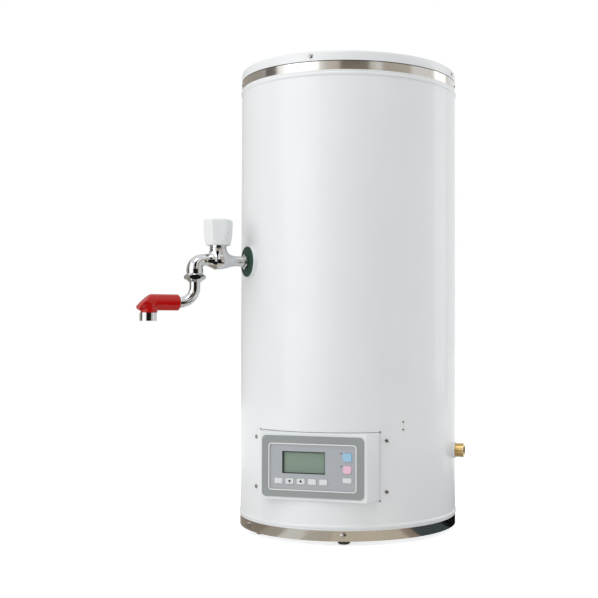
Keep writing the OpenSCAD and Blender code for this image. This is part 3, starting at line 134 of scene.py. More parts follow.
def map_range(tree, value, span, curve="LINEAR"):
    """A node that maps a span of the noise to its own low and high."""
    node = tree.nodes.new("ShaderNodeMapRange")
    node.interpolation_type = curve
    set_inputs(node, {"From Min": span[0], "From Max": span[1]})
    tree.links.new(value, node.inputs["Value"])
    return node


def mix_colors(tree, factor, first, second):
    """The first colour with a share of the second."""
    mix = tree.nodes.new("ShaderNodeMix")
    mix.data_type = "RGBA"
    tree.links.new(factor, mix.inputs["Factor"])
    tree.links.new(first, mix.inputs["A"])
    tree.links.new(second, mix.inputs["B"])
    return mix.outputs["Result"]


def make_gloss_group():
    """Roughness that wanders between two values."""
    tree, given, out = new_group("surface_gloss", [
        ("Scale", FLOAT, 30.0), ("Stretch", VECTOR, EVEN), ("Low", FLOAT, 0.2), ("High", FLOAT, 0.3)],
        [("Roughness", FLOAT)])
    noise = object_noise(tree, given.outputs["Scale"], given.outputs["Stretch"])
    wander = map_range(tree, noise, GLOSS_SPAN, "SMOOTHSTEP")
    tree.links.new(given.outputs["Low"], wander.inputs["To Min"])
    tree.links.new(given.outputs["High"], wander.inputs["To Max"])
    tree.links.new(wander.outputs["Result"], out.inputs["Roughness"])
    return tree


def make_tint_group():
    """Colour that drifts between two close tints, with fine specks of a third."""
    tree, given, out = new_group("surface_tint", [
        ("Scale", FLOAT, 12.0), ("Stretch", VECTOR, EVEN), ("Base", COLOR, None), ("Drift", COLOR, None),
        ("Speck", COLOR, None), ("Speck Scale", FLOAT, 900.0), ("Speck Amount", FLOAT, 0.05)],
        [("Color", COLOR)])
    noise = object_noise(tree, given.outputs["Scale"], given.outputs["Stretch"])
    drift = map_range(tree, noise, TINT_SPAN)
    tint = mix_colors(tree, drift.outputs["Result"], given.outputs["Base"], given.outputs["Drift"])
    fine = object_noise(tree, given.outputs["Speck Scale"], detail=SPECK_DETAIL)
    specks = map_range(tree, fine, SPECK_SPAN)
    tree.links.new(given.outputs["Speck Amount"], specks.inputs["To Max"])
    specked = mix_colors(tree, specks.outputs["Result"], tint, given.outputs["Speck"])
    tree.links.new(specked, out.inputs["Color"])
    return tree


def make_relief_group():
    """Fine relief: paint's orange peel, moulded grain or drawn lines, by its scale and stretch."""
    tree, given, out = new_group("surface_relief", [
        ("Scale", FLOAT, 400.0), ("Stretch", VECTOR, EVEN), ("Strength", FLOAT, 0.1),
        ("Depth", FLOAT, 0.0001)], [("Normal", VECTOR)])
    height = object_noise(tree, given.outputs["Scale"], given.outputs["Stretch"], RELIEF_DETAIL)
    bump = tree.nodes.new("ShaderNodeBump")
    tree.links.new(height, bump.inputs["Height"])
    tree.links.new(given.outputs["Strength"], bump.inputs["Strength"])
    tree.links.new(given.outputs["Depth"], bump.inputs["Distance"])
    tree.links.new(bump.outputs["Normal"], out.inputs["Normal"])
    return tree


GLOSS, TINT, RELIEF = make_gloss_group(), make_tint_group(), make_relief_group()


def linear_value(value):
    """The linear value of a display value from 0 to 255, by the sRGB curve."""
    if value <= 10:
        return value / 255 / 12.92
    return ((value / 255 + 0.055) / 1.055) ** 2.4


def linear(red, green, blue):
    """The linear colour of three display values."""
    return (linear_value(red), linear_value(green), linear_value(blue), 1.0)


def use_group(made, group, values, output, shader_input):
    """Places a shared group in a material with values of its own, and feeds the shader from it."""
    placed = made.node_tree.nodes.new("ShaderNodeGroup")
    placed.node_tree = group
    set_inputs(placed, values)
    shader = made.node_tree.nodes["Principled BSDF"]
    made.node_tree.links.new(placed.outputs[output], shader.inputs[shader_input])


SPECK_SHADE = 0.9


def material(name, base, drift, rough, relief, speck=None, metallic=0.0, rough_scale=25, tint_scale=9,
             speck_scale=900, speck_amount=0.04, stretch=EVEN, tint_stretch=None, coat=0.0,
             coat_rough=0.05, shine=0.5):
    """A finish: base, drift and speck in display values, rough as low and high, relief as scale,
    strength and depth."""
    made = bpy.data.materials.new(name)
    made.use_nodes = True
    speck = speck or [value * SPECK_SHADE for value in base]
    use_group(made, TINT, {
        "Scale": tint_scale, "Stretch": tint_stretch or stretch, "Base": linear(*base),
        "Drift": linear(*drift), "Speck": linear(*speck), "Speck Scale": speck_scale,
        "Speck Amount": speck_amount}, "Color", "Base Color")
    use_group(made, GLOSS, {
        "Scale": rough_scale, "Stretch": stretch, "Low": rough[0], "High": rough[1]},
        "Roughness", "Roughness")
    use_group(made, RELIEF, {
        "Scale": relief[0], "Stretch": stretch, "Strength": relief[1], "Depth": relief[2]},
        "Normal", "Normal")
    set_inputs(made.node_tree.nodes["Principled BSDF"], {
        "Metallic": metallic, "Specular IOR Level": shine, "Coat Weight": coat,
        "Coat Roughness": coat_rough})
    made.diffuse_color = linear(*base)
    return made


# Finishes, by the record's material slots. The lines on drawn steel run round it, so they are fine in height
# The band steel's tint is stretched into broad clouds round it: painted reflection
BAND_LINES, TANK_LINES, BAND_REFLECTION_CLOUDS = (1, 1, 60), (1, 1, 20), (1, 1, 0.2)
KEY_GRAIN = {"rough": (0.35, 0.45), "relief": (1500, 0.12, 0.00004)}
FINISHES = {
    "white_enamel": dict(base=(236, 238, 239), drift=(234, 236, 237), rough=(0.4, 0.48),
                         relief=(260, 0.05, 0.00005), coat=0.35, coat_rough=0.12, speck_amount=0.02),
    "zinc_sheet": dict(base=(190, 192, 193), drift=(168, 170, 172), metallic=1.0, rough=(0.32, 0.5),
                       tint_scale=45, relief=(300, 0.08, 0.0001)),
    # The band steel's darker drift clouds round the band and its brown specks are painted reflection:
    # lighter and darker sheen of the studio round it
    "band_steel": dict(base=(214, 213, 210), drift=(192, 188, 181), metallic=1.0, rough=(0.12, 0.18),
                       stretch=BAND_LINES, rough_scale=14, tint_scale=5, tint_stretch=BAND_REFLECTION_CLOUDS,
                       relief=(90, 0.03, 0.00003), speck=(120, 111, 100), speck_amount=0.2),
    "foot_rubber": dict(base=(46, 40, 36), drift=(38, 33, 30), rough=(0.55, 0.75),
                        relief=(700, 0.25, 0.0002)),
    "screw_steel": dict(base=(204, 204, 202), drift=(176, 176, 174), metallic=1.0, rough=(0.16, 0.3),
                        relief=(900, 0.1, 0.00005)),
    "white_plastic": dict(base=(241, 241, 239), drift=(237, 237, 235), rough=(0.3, 0.4),
                          relief=(900, 0.08, 0.00005)),
    "tank_steel": dict(base=(196, 198, 199), drift=(182, 184, 186), metallic=1.0, rough=(0.25, 0.4),
                       stretch=TANK_LINES, relief=(120, 0.08, 0.0001)),
    "foam": dict(base=(226, 216, 178), drift=(210, 198, 158), rough=(0.85, 0.95),
                 relief=(350, 0.5, 0.0008), speck_amount=0.2, speck_scale=500),
    "black_rubber": dict(base=(32, 32, 33), drift=(26, 26, 27), rough=(0.5, 0.7),
                         relief=(800, 0.2, 0.0001)),
    "brass": dict(base=(226, 200, 142), drift=(194, 164, 104), metallic=1.0, rough=(0.14, 0.3),
                  rough_scale=60, tint_scale=40, relief=(500, 0.1, 0.00008)),
    "black_plastic": dict(base=(36, 37, 39), drift=(30, 31, 33), rough=(0.4, 0.55),
                          relief=(900, 0.2, 0.00008)),
    "copper_pipe": dict(base=(196, 120, 88), drift=(178, 102, 72), metallic=1.0, rough=(0.22, 0.4),
                        relief=(300, 0.1, 0.0001)),
    "ivory_plastic": dict(base=(222, 214, 190), drift=(214, 205, 180), rough=(0.4, 0.5),
                          relief=(700, 0.1, 0.0001)),
    "grey_plastic": dict(base=(152, 157, 157), drift=(147, 152, 152), rough=(0.42, 0.52),
                         relief=(1400, 0.3, 0.00006), speck=(130, 135, 135), speck_amount=0.12,
                         speck_scale=1600),
    "panel_plastic": dict(base=(176, 180, 184), drift=(172, 176, 180), rough=(0.34, 0.42),
                          relief=(1600, 0.15, 0.00004), speck=(188, 191, 197), speck_amount=0.1,
                          speck_scale=1500),
    "display_glass": dict(base=(137, 156, 141), drift=(132, 151, 137), rough=(0.3, 0.34),
                          relief=(60, 0.02, 0.00002), coat=1.0, coat_rough=0.03),
    "circuit_board": dict(base=(34, 92, 52), drift=(28, 82, 46), rough=(0.3, 0.4),
                          relief=(500, 0.2, 0.0001)),
    "key_white": dict(base=(226, 228, 229), drift=(221, 223, 225), **KEY_GRAIN),
    "key_blue": dict(base=(164, 204, 229), drift=(158, 199, 226), **KEY_GRAIN),
    "key_pink": dict(base=(238, 197, 214), drift=(235, 191, 210), **KEY_GRAIN),
    "green_fibre": dict(base=(26, 72, 56), drift=(20, 60, 47), rough=(0.6, 0.8),
                        relief=(900, 0.4, 0.0002), speck=(60, 110, 90), speck_amount=0.25,
                        speck_scale=1200),
    "chrome": dict(base=(214, 215, 216), drift=(206, 207, 209), metallic=1.0, rough=(0.035, 0.08),
                   rough_scale=18, relief=(35, 0.02, 0.0001), speck_amount=0.01),
    "handle_plastic": dict(base=(238, 240, 240), drift=(235, 237, 237), rough=(0.22, 0.3),
                           relief=(400, 0.04, 0.00006), coat=0.3, coat_rough=0.08),
    "red_plastic": dict(base=(190, 8, 8), drift=(182, 6, 6), rough=(0.13, 0.2),
                        relief=(220, 0.03, 0.00004), shine=0.45, speck=(176, 7, 7), speck_amount=0.03),
}
MATERIALS = {slot: material(slot, **finish) for slot, finish in FINISHES.items()}


def paint(piece, slot):
    """Gives a piece the material of a slot, and no other."""
    piece.data.materials.clear()
    piece.data.materials.append(MATERIALS[slot])
    for polygon in piece.data.polygons:
        polygon.material_index = 0


for node, piece in NODES.items():
    paint(piece, SLOT_OF[node])


# How the new pieces are merged, shaded and rounded; angles are in degrees
SMOOTH_ANGLE, COPY_SMOOTH_ANGLE = 35, 32
MERGE_WITHIN, SLIVER, FLAT_ANGLE = 1e-6, 1e-7, 0.3
ROUND_STEPS, ROUND_FROM_ANGLE = 2, 50


def add_piece(name, mesh, body, slot, *nodes):
    """Puts a finished mesh in the scene as a piece that rides on a body and stands for CAD nodes."""
    piece = bpy.data.objects.new(name, mesh)
    bpy.context.scene.collection.objects.link(piece)
    paint(piece, slot)
    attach(piece, body)
    if nodes:
        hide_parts(*nodes)
    return piece


def mesh_of(shape, name, smooth_angle=SMOOTH_ANGLE):
    """Mesh from a bmesh, smooth but for its edges sharper than the angle."""
    bmesh.ops.recalc_face_normals(shape, faces=shape.faces)
    limit = math.radians(smooth_angle)
    for face in shape.faces:
        face.smooth = True
    for edge in shape.edges:
        edge.smooth = not (len(edge.link_faces) == 2 and edge.calc_face_angle(0) > limit)
    mesh = bpy.data.meshes.new(name)
    shape.to_mesh(mesh)
    shape.free()
    return mesh


def add_shape(name, shape, body, slot):
    """A new piece from a bmesh in millimetres."""
    bmesh.ops.scale(shape, vec=(MM, MM, MM), verts=shape.verts)
    add_piece(name, mesh_of(shape, name), body, slot)


def smooth_copy(node, rounding=0.0):
    """A copy of a CAD node with its flat facets shaded smooth and its sharp edges rounded."""
    shape = bmesh.new()
    shape.from_mesh(NODES[node].data)
    bmesh.ops.remove_doubles(shape, verts=shape.verts, dist=MERGE_WITHIN)
    bmesh.ops.dissolve_degenerate(shape, edges=shape.edges, dist=SLIVER)
    if rounding:
        bmesh.ops.dissolve_limit(shape, verts=shape.verts, edges=shape.edges,
                                 angle_limit=math.radians(FLAT_ANGLE))
    name = node + "_look"
    piece = add_piece(name, mesh_of(shape, name, COPY_SMOOTH_ANGLE), BODY_OF[node], SLOT_OF[node], node)
    if rounding:
        bevel = piece.modifiers.new("round_edges", "BEVEL")
        bevel.width, bevel.segments = rounding * MM, ROUND_STEPS
        bevel.limit_method, bevel.angle_limit = "ANGLE", math.radians(ROUND_FROM_ANGLE)


# Smooth cast and moulded pieces: a distance function sampled on a grid, then meshed
CELL_CORNERS = ((0, 0), (1, 0), (1, 1), (0, 1))
SETTLE_PASSES, PROBE, LEAST_SLOPE, MOST_MOVE = 4, 0.02, 0.2, 0.3
EDGE_BLEND = 0.3


def soft_min(first, second, blend):
    """Joins two forms with a rounded corner."""
    near = np.maximum(blend - np.abs(first - second), 0) / blend
    return np.minimum(first, second) - near * near * blend / 4


def soft_max(first, second, blend):
    """Keeps what two forms share, with a rounded edge."""
    return -soft_min(-first, -second, blend)


def upright(point, x, radius, low, high, blend=EDGE_BLEND):
    """Cylinder along z through x."""
    ends = np.maximum(low - point[2], point[2] - high)
    return soft_max(np.hypot(point[0] - x, point[1]) - radius, ends, blend)


def level(point, z, radius, start, end, blend=EDGE_BLEND):
    """Cylinder along x at height z."""
    ends = np.maximum(start - point[0], point[0] - end)
    return soft_max(np.hypot(point[1], point[2] - z) - radius, ends, blend)


def elbow(point, x, drop, bend, start_r, end_r):
    """Quarter bend from level, at x - bend, to upright at x, whose radius grows on the way."""
    along, below = point[0] - (x - bend), point[2] + drop
    turn = np.clip(np.arctan2(along, below), 0, math.pi / 2)
    share = turn / (math.pi / 2)
    share = share * share * (3 - 2 * share)
    out_x, out_z = along - bend * np.sin(turn), below - bend * np.cos(turn)
    return np.sqrt(out_x * out_x + out_z * out_z + point[1] ** 2) - (start_r + (end_r - start_r) * share)


def past_plane(x, z, through_x, through_z, across, up):
    """Distance past a sloping plane that faces across and up and passes through a point."""
    return ((x - through_x) * across + (z - through_z) * up) / math.hypot(across, up)


def cell_beside(at, others, corner):
    """The cell that has a crossed grid edge at one of its corners."""
    cell = at.copy()
    cell[:, others[0]] -= corner[0]
    cell[:, others[1]] -= corner[1]
    return cell


def settle(points, distance, step):
    """Moves points along the slope on to the surface."""
    most = MOST_MOVE * step
    for _ in range(SETTLE_PASSES):
        rises = [distance((points + probe).T) - distance((points - probe).T) for probe in PROBE * np.eye(3)]
        slope = np.stack(rises, axis=1) / (2 * PROBE)
        share = distance(points.T) / np.maximum((slope ** 2).sum(1), LEAST_SLOPE)
        points = points - np.clip(slope * share[:, None], -most, most)
    return points


def net_mesh(name, distance, low, high, step):
    """Closed mesh of quads over the surface where distance is 0, a point in each cell that it crosses."""
    low, high = np.array(low, float), np.array(high, float)
    counts = np.ceil((high - low) / step).astype(int) + 1
    lines = [low[axis] + step * np.arange(counts[axis]) for axis in range(3)]
    value = distance(np.stack(np.meshgrid(*lines, indexing="ij")))
    inside = value < 0
    cells = tuple(counts - 1)
    total, hits = np.zeros(cells + (3,)), np.zeros(cells)
    crossings = []
    for axis in range(3):
        first = tuple(slice(None, -1) if way == axis else slice(None) for way in range(3))
        second = tuple(slice(1, None) if way == axis else slice(None) for way in range(3))
        others = [way for way in range(3) if way != axis]
        at = np.argwhere(inside[first] != inside[second])
        start, end = value[first][tuple(at.T)], value[second][tuple(at.T)]
        point = low + step * at.astype(float)
        point[:, axis] += step * start / (start - end)
        for corner in CELL_CORNERS:
            cell = cell_beside(at, others, corner)
            good = np.all((cell >= 0) & (cell < np.array(cells)), axis=1)
            np.add.at(total, tuple(cell[good].T), point[good])
            np.add.at(hits, tuple(cell[good].T), 1)
        crossings.append((axis, others, at, start < 0))
    used = tuple(np.argwhere(hits > 0).T)
    index = np.full(cells, -1)
    index[used] = np.arange(len(used[0]))
    points = settle(total[used] / hits[used][:, None], distance, step)
    faces = []
    for axis, others, at, outward in crossings:
        corners = [index[tuple(cell_beside(at, others, corner).T)] for corner in CELL_CORNERS]
        quads = np.stack(corners, axis=1)
        flip = outward if axis == 1 else ~outward
        quads[flip] = quads[flip][:, ::-1]
        faces.append(quads)
    mesh = bpy.data.meshes.new(name)
    mesh.from_pydata((points * MM).tolist(), [], np.concatenate(faces).tolist())
    mesh.validate()
    for polygon in mesh.polygons:
        polygon.use_smooth = True
    return mesh


def away(node):
    """How far the middle of a tap piece stands from the tank's axis, in millimetres, to a tenth."""
    low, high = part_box(node)
    return round(math.hypot(low[0] + high[0], low[1] + high[1]) / 2 / MM, 1)


def middle_z(node):
    """The height of a node's middle, in millimetres, to a tenth."""
    low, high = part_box(node)
    return round((low[2] + high[2]) / 2 / MM, 1)


# The tap's own axes: x outwards from the tank's axis, z up from the arm
TAP_TURN = Matrix.Rotation(math.radians(-135), 4, "Z")
TAP_Z = middle_z("tap_locknut")
SPINDLE_X, OUTLET_X, NOZZLE_X = away("bonnet_nut"), away("spout_nut"), away("nozzle")

# Tap body: arm, neck, belly, branch with its bend, socket over the spout nut, tail in the shell, thread
ARM_R, ARM_START, ARM_BLEND = 8.0, 172, 15
NECK_R, NECK_TOP, NECK_EDGE, NECK_BLEND = 12.5, 19, 1.0, 3
BELLY_X, BELLY_Y, BELLY_Z = 14.2, 13.6, 12.2
BRANCH_R, BEND_R, BEND_START_R, BRANCH_BLEND, JOINT_BLEND = 9.0, 14, 9.2, 8, 1.5
SOCKET_R, SOCKET_FOOT, SOCKET_TOP, SOCKET_EDGE = 12.3, -21.3, -13, 0.8
TAIL_R, TAIL_START, TAIL_END, TAIL_EDGE = 10.45, 150, 175.4, 0.5
THREAD_R, THREAD_FOOT, THREAD_TOP, THREAD_EDGE = 11.5, -28.3, -19, 0.4
PIPE_R, BORE_FOOT, BORE_TOP, BORE_EDGE = 8.1, -40, -18.9, 0.4
OUTLET_START, TRIM_EDGE = 16, 0.6
TAP_BODY_GRID = {"low": (146, -20, -32), "high": (276, 20, 24), "step": 0.8}


def tap_body_form(point):
    """The cast parts blended together, cut off at the neck and the socket, bored for the spout's pipe."""
    x, y, z = point[0] - SPINDLE_X, point[1], point[2]
    arm = level(point, 0, ARM_R, ARM_START, SPINDLE_X)
    neck = upright(point, SPINDLE_X, NECK_R, 0, NECK_TOP, NECK_EDGE)
    belly = (np.sqrt((x / BELLY_X) ** 2 + (y / BELLY_Y) ** 2 + (z / BELLY_Z) ** 2) - 1) * BELLY_Z
    branch = level(point, 0, BRANCH_R, SPINDLE_X, OUTLET_X - BEND_R)
    bend = elbow(point, OUTLET_X, BEND_R, BEND_R, BEND_START_R, SOCKET_R)
    socket = upright(point, OUTLET_X, SOCKET_R, SOCKET_FOOT, SOCKET_TOP, SOCKET_EDGE)
    form = soft_min(neck, belly, NECK_BLEND)
    form = soft_min(form, arm, ARM_BLEND)
    form = soft_min(form, soft_min(branch, bend, JOINT_BLEND), BRANCH_BLEND)
    form = soft_min(form, socket, JOINT_BLEND)
    ends = np.where(point[0] < OUTLET_X - OUTLET_START, z - NECK_TOP, SOCKET_FOOT - z)
    form = soft_max(form, ends, TRIM_EDGE)
    tail = level(point, 0, TAIL_R, TAIL_START, TAIL_END, TAIL_EDGE)
    thread = upright(point, OUTLET_X, THREAD_R, THREAD_FOOT, THREAD_TOP, THREAD_EDGE)
    form = np.minimum(np.minimum(form, tail), thread)
    bore = upright(point, OUTLET_X, PIPE_R, BORE_FOOT, BORE_TOP)
    return soft_max(form, -bore, BORE_EDGE)


# Handle: it flares upwards, has six flats and a slight crown, and its skirt is open round a hub
HANDLE_FOOT, HANDLE_H, CROWN, CROWN_EDGE, FOOT_EDGE = 22.6, 39.5, 0.0012, 2.5, 1.2
HANDLE_FOOT_R, FLARE, FLARE_H, FLARE_SHARE = 18.0, 4.3, 36.5, 0.95
FLATS, FLAT_TURN, FLAT_IN, FLAT_LEAN, FLAT_EDGE = 6, 13.7, 18.91, math.radians(0.6), 0.7
SKIRT_R, SKIRT_TOP, SKIRT_EDGE = 14, 14.4, 0.6
HUB_R, HUB_FOOT, STEM_R, STEM_TOP = 8, 6.9, 4.05, 27.4
HANDLE_GRID = {"low": (197, -25, 20), "high": (246, 25, 64), "step": 0.7}


def handle_form(point):
    """The flared round with its flats and crown, hollow round the hub and bored for the stem."""
    x, y, z = point[0] - SPINDLE_X, point[1], point[2] - HANDLE_FOOT
    from_axis = np.hypot(x, y)
    rise = np.clip(z / FLARE_H, 0, 1)
    radius = HANDLE_FOOT_R + FLARE * (1 - (1 - rise) ** 2)
    form = (from_axis - radius) * FLARE_SHARE
    reach = FLAT_IN - (HANDLE_H - z) * math.tan(FLAT_LEAN)
    for side in range(FLATS):
        facing = math.radians(FLAT_TURN + 360 / FLATS * side)
        form = soft_max(form, x * math.cos(facing) + y * math.sin(facing) - reach, FLAT_EDGE)
    form = soft_max(form, z - HANDLE_H + CROWN * (x * x + y * y), CROWN_EDGE)
    form = soft_max(form, -z, FOOT_EDGE)
    skirt = np.maximum(from_axis - SKIRT_R, z - SKIRT_TOP)
    hub = np.maximum(from_axis - HUB_R, HUB_FOOT - z)
    form = soft_max(form, -np.maximum(skirt, -hub), SKIRT_EDGE)
    stem = np.maximum(from_axis - STEM_R, z - STEM_TOP)
    return np.maximum(form, -stem)


# Spout cover: a round sleeve with a sloping nose and a boss over the nozzle, bored for the spout's pipe
COVER_Z, COVER_START, COVER_R, COVER_EDGE = -63.5, 282.0, 12, 0.8
MOUTH_H, MOUTH_TAPER = 2, 0.8
NOSE_X, NOSE_ACROSS, NOSE_UP = NOZZLE_X - 2.3, 18.7, 18.7
CHIN_X, CHIN_Z, CHIN_ACROSS, CHIN_UP, NOSE_EDGE = NOZZLE_X + 15.8, -7.5, 10.3, -2.4, 1.6
BOSS_R, BOSS_FOOT, BOSS_BACK, BOSS_BLEND = 12.2, -15.2, 1, 2.0
SPOUT_BEND_R = 10
COVER_GRID = {"low": (279, -15, -81), "high": (348, 15, -49), "step": 0.6}


def cover_form(point):
    """The sleeve with its nose and its boss, less the bent pipe inside."""
    x, y, z = point[0], point[1], point[2] - COVER_Z
    sleeve = np.hypot(y, z)
    taper = sleeve - COVER_R + np.maximum(0, COVER_START + MOUTH_H - x) * MOUTH_TAPER
    form = soft_max(taper, COVER_START - x, COVER_EDGE)
    slope = past_plane(x, z, NOSE_X, COVER_R, NOSE_ACROSS, NOSE_UP)
    chin = past_plane(x, z, CHIN_X, CHIN_Z, CHIN_ACROSS, CHIN_UP)
    form = soft_max(soft_max(form, slope, NOSE_EDGE), chin, NOSE_EDGE)
    boss_side = np.hypot(x - NOZZLE_X + BOSS_BACK, y) - BOSS_R
    form = soft_min(form, soft_max(boss_side, np.maximum(BOSS_FOOT - z, z), COVER_EDGE), BOSS_BLEND)
    pipe = np.maximum(sleeve - PIPE_R, x - NOZZLE_X + SPOUT_BEND_R)
    leg = np.maximum(np.hypot(x - NOZZLE_X, y) - PIPE_R, z + SPOUT_BEND_R)
    knee = elbow((x, y, z), NOZZLE_X, SPOUT_BEND_R, SPOUT_BEND_R, PIPE_R, PIPE_R)
    return np.maximum(form, -np.minimum(np.minimum(pipe, leg), knee))


def tap_piece(name, form, grid, body, slot, *nodes):
    """A piece of the tap from its form, sampled on a grid in the tap's own axes."""
    mesh = net_mesh(name, form, **grid)
    mesh.transform(TAP_TURN @ Matrix.Translation((0, 0, TAP_Z * MM)))
    add_piece(name, mesh, body, slot, *nodes)


tap_piece("tap_body_look", tap_body_form, TAP_BODY_GRID, "boiler", "chrome", "tap_body")
tap_piece("handle_look", handle_form, HANDLE_GRID, "tap_handle", "handle_plastic", "handle", "handle_cap")
tap_piece("spout_cover_look", cover_form, COVER_GRID, "spout", "red_plastic", "spout_cover")

# Copies of the CAD nodes that show: as they are, or with their edges rounded by so much
for node in ("outer_shell", "top_cap", "top_band", "base_band", "rubber_feet", "tap_seat", "tap_gasket",
             "bonnet_nut", "spout_pipe", "nozzle", "inlet_stub", "inlet_bush", "cable_gland", "side_rivets",
             "cap_screws", "band_screws", "cover_screws", "band_rivets", "base_plate"):
    smooth_copy(node)
for node, rounding in (("control_cover", 0.9), ("bezel", 0.5), ("panel_plate", 0.15), ("spout_nut", 0.4),
                       ("tap_locknut", 0.4), ("key_mode", 0.3), ("key_down", 0.25), ("key_up", 0.25),
                       ("key_set", 0.3), ("key_clear", 0.3), ("key_blue", 0.3), ("key_pink", 0.3),
                       ("key_white", 0.3)):
    smooth_copy(node, rounding)

# The spout nut is screwed up to where its flats face as in the photo
NUT_TURN = Matrix.Rotation(math.radians(-17), 4, "Z")
NUT_PLACE = TAP_TURN @ Matrix.Translation((OUTLET_X * MM, 0, 0))
bpy.data.objects["spout_nut_look"].data.transform(NUT_PLACE @ NUT_TURN @ NUT_PLACE.inverted())


# Trims of the control panel: x across its front, z up
FACE_FRONT = Matrix.Rotation(math.radians(90), 3, "X")
CORNER_STEPS = 6


def rounded_face(width, height, corner, x, y, z):
    """A rounded rectangle facing forwards, as one face."""
    shape = bmesh.new()
    bmesh.ops.create_grid(shape, x_segments=1, y_segments=1, size=0.5)
    bmesh.ops.scale(shape, vec=(width, height, 1), verts=shape.verts)
    if corner:
        bmesh.ops.bevel(shape, geom=shape.verts[:], offset=corner, segments=CORNER_STEPS, profile=0.5,
                        affect="VERTICES", material=-1)
    bmesh.ops.rotate(shape, matrix=FACE_FRONT, verts=shape.verts)
    bmesh.ops.translate(shape, vec=(x, y, z), verts=shape.verts)
    return shape


def thicken(shape, depth):
    """Gives a flat shape a depth towards the back, or the front if it is negative."""
    made = bmesh.ops.extrude_face_region(shape, geom=shape.faces[:])
    moved = [piece for piece in made["geom"] if isinstance(piece, bmesh.types.BMVert)]
    bmesh.ops.translate(shape, vec=(0, depth, 0), verts=moved)


def panel_frame(face, edge, depth, aside=0.0):
    """A closed frame inside a rounded face, its opening moved aside, its back depth behind the face."""
    opening = face.faces[:]
    bmesh.ops.inset_region(face, faces=opening, thickness=edge, use_boundary=True, use_even_offset=True)
    corners = list({corner for part in opening for corner in part.verts})
    bmesh.ops.translate(face, vec=(aside, 0, 0), verts=corners)
    bmesh.ops.delete(face, geom=opening, context="FACES")
    thicken(face, depth)
    return face


# The plate's size is that of its node, and the display shows in a window left of its middle
plate_low, plate_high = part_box("panel_plate")
PLATE_W, PLATE_H = (round((plate_high[axis] - plate_low[axis]) / MM, 1) for axis in (0, 2))
PLATE_Z, PLATE_CORNER = middle_z("panel_plate"), 3.0
BEZEL_FRONT = round(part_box("bezel")[0][1] / MM, 1)
LIP_W, LIP_PROUD, LIP_GAP, LIP_DEPTH = 1.6, 0.06, 0.1, 0.3
lip = rounded_face(PLATE_W + 2 * LIP_W, PLATE_H + 2 * LIP_W, PLATE_CORNER + LIP_W, 0.0,
                   BEZEL_FRONT - LIP_PROUD, PLATE_Z)
add_shape("bezel_lip", panel_frame(lip, LIP_W - LIP_GAP, LIP_DEPTH), "boiler", "white_plastic")

WINDOW_W, WINDOW_H, WINDOW_X, WINDOW_Z = 65.2, 31.9, -13.55, 118.9
# A black frame inside the display's window, wider at its left, is painted shade: the shade on the window's
# walls
SHADE_FRAME_W, SHADE_FRAME_DEPTH, SHADE_FRAME_ASIDE, SHADE_FRAME_SUNK = 1.1, 2.5, 0.5, 0.04
shade_frame_front = round(plate_low[1] / MM + SHADE_FRAME_SUNK, 2)
window = rounded_face(WINDOW_W, WINDOW_H, 0, WINDOW_X, shade_frame_front, WINDOW_Z)
shade_frame = panel_frame(window, SHADE_FRAME_W, SHADE_FRAME_DEPTH, SHADE_FRAME_ASIDE)
add_shape("display_painted_shade", shade_frame, "boiler", "black_rubber")

ARROW_R, ARROW_PROUD, ARROW_SUNK = 2.7, 0.12, 0.2


def key_arrow(node, turn):
    """A small flat triangle on a key's face, pointing up or, turned round, down."""
    low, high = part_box(node)
    x, z = (low[0] + high[0]) / 2 / MM, (low[2] + high[2]) / 2 / MM
    shape = bmesh.new()
    bmesh.ops.create_circle(shape, cap_ends=True, segments=3, radius=ARROW_R)
    bmesh.ops.rotate(shape, matrix=Matrix.Rotation(turn, 3, "Z"), verts=shape.verts)
    bmesh.ops.rotate(shape, matrix=FACE_FRONT, verts=shape.verts)
    bmesh.ops.translate(shape, vec=(x, low[1] / MM + ARROW_SUNK, z), verts=shape.verts)
    thicken(shape, -ARROW_SUNK - ARROW_PROUD)
    add_shape(node + "_arrow", shape, BODY_OF[node], "black_plastic")


key_arrow("key_down", math.pi)
key_arrow("key_up", 0)

RIVET_R, RIVET_TURN = 2.8, math.radians(45)
HOLE_SHADE_R, HOLE_SHADE_L, HOLE_SHADE_AWAY, HOLE_SHADE_STEPS = 1.15, 2.0, 171.1, 24


def rivet_hole_shade():
    """A black plug in the middle of each white rivet beside the control box: painted shade in the rivet's
    hole.
    """
    low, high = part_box("side_rivets")
    shape = bmesh.new()
    for z in (low[2] / MM + RIVET_R, high[2] / MM - RIVET_R):
        hole_shade = bmesh.ops.create_cone(shape, cap_ends=True, segments=HOLE_SHADE_STEPS, radius1=HOLE_SHADE_R, radius2=HOLE_SHADE_R,
                                    depth=HOLE_SHADE_L)["verts"]
        bmesh.ops.rotate(shape, matrix=FACE_FRONT, verts=hole_shade)
        bmesh.ops.translate(shape, vec=(0, -HOLE_SHADE_AWAY, z), verts=hole_shade)
        bmesh.ops.rotate(shape, matrix=Matrix.Rotation(RIVET_TURN, 3, "Z"), verts=hole_shade)
    add_shape("rivet_hole_shade", shape, "boiler", "black_plastic")


rivet_hole_shade()

RING_STEPS = 180
GAP_SHADE_IN, GAP_SHADE_T = 0.1, 0.6


def spin_round(shape, outline):
    """Turns a closed outline into a ring round the tank."""
    bmesh.ops.spin(shape, geom=outline, cent=TANK_MIDDLE, axis=TANK_AXIS, angle=FULL_TURN, steps=RING_STEPS,
                   use_merge=True)


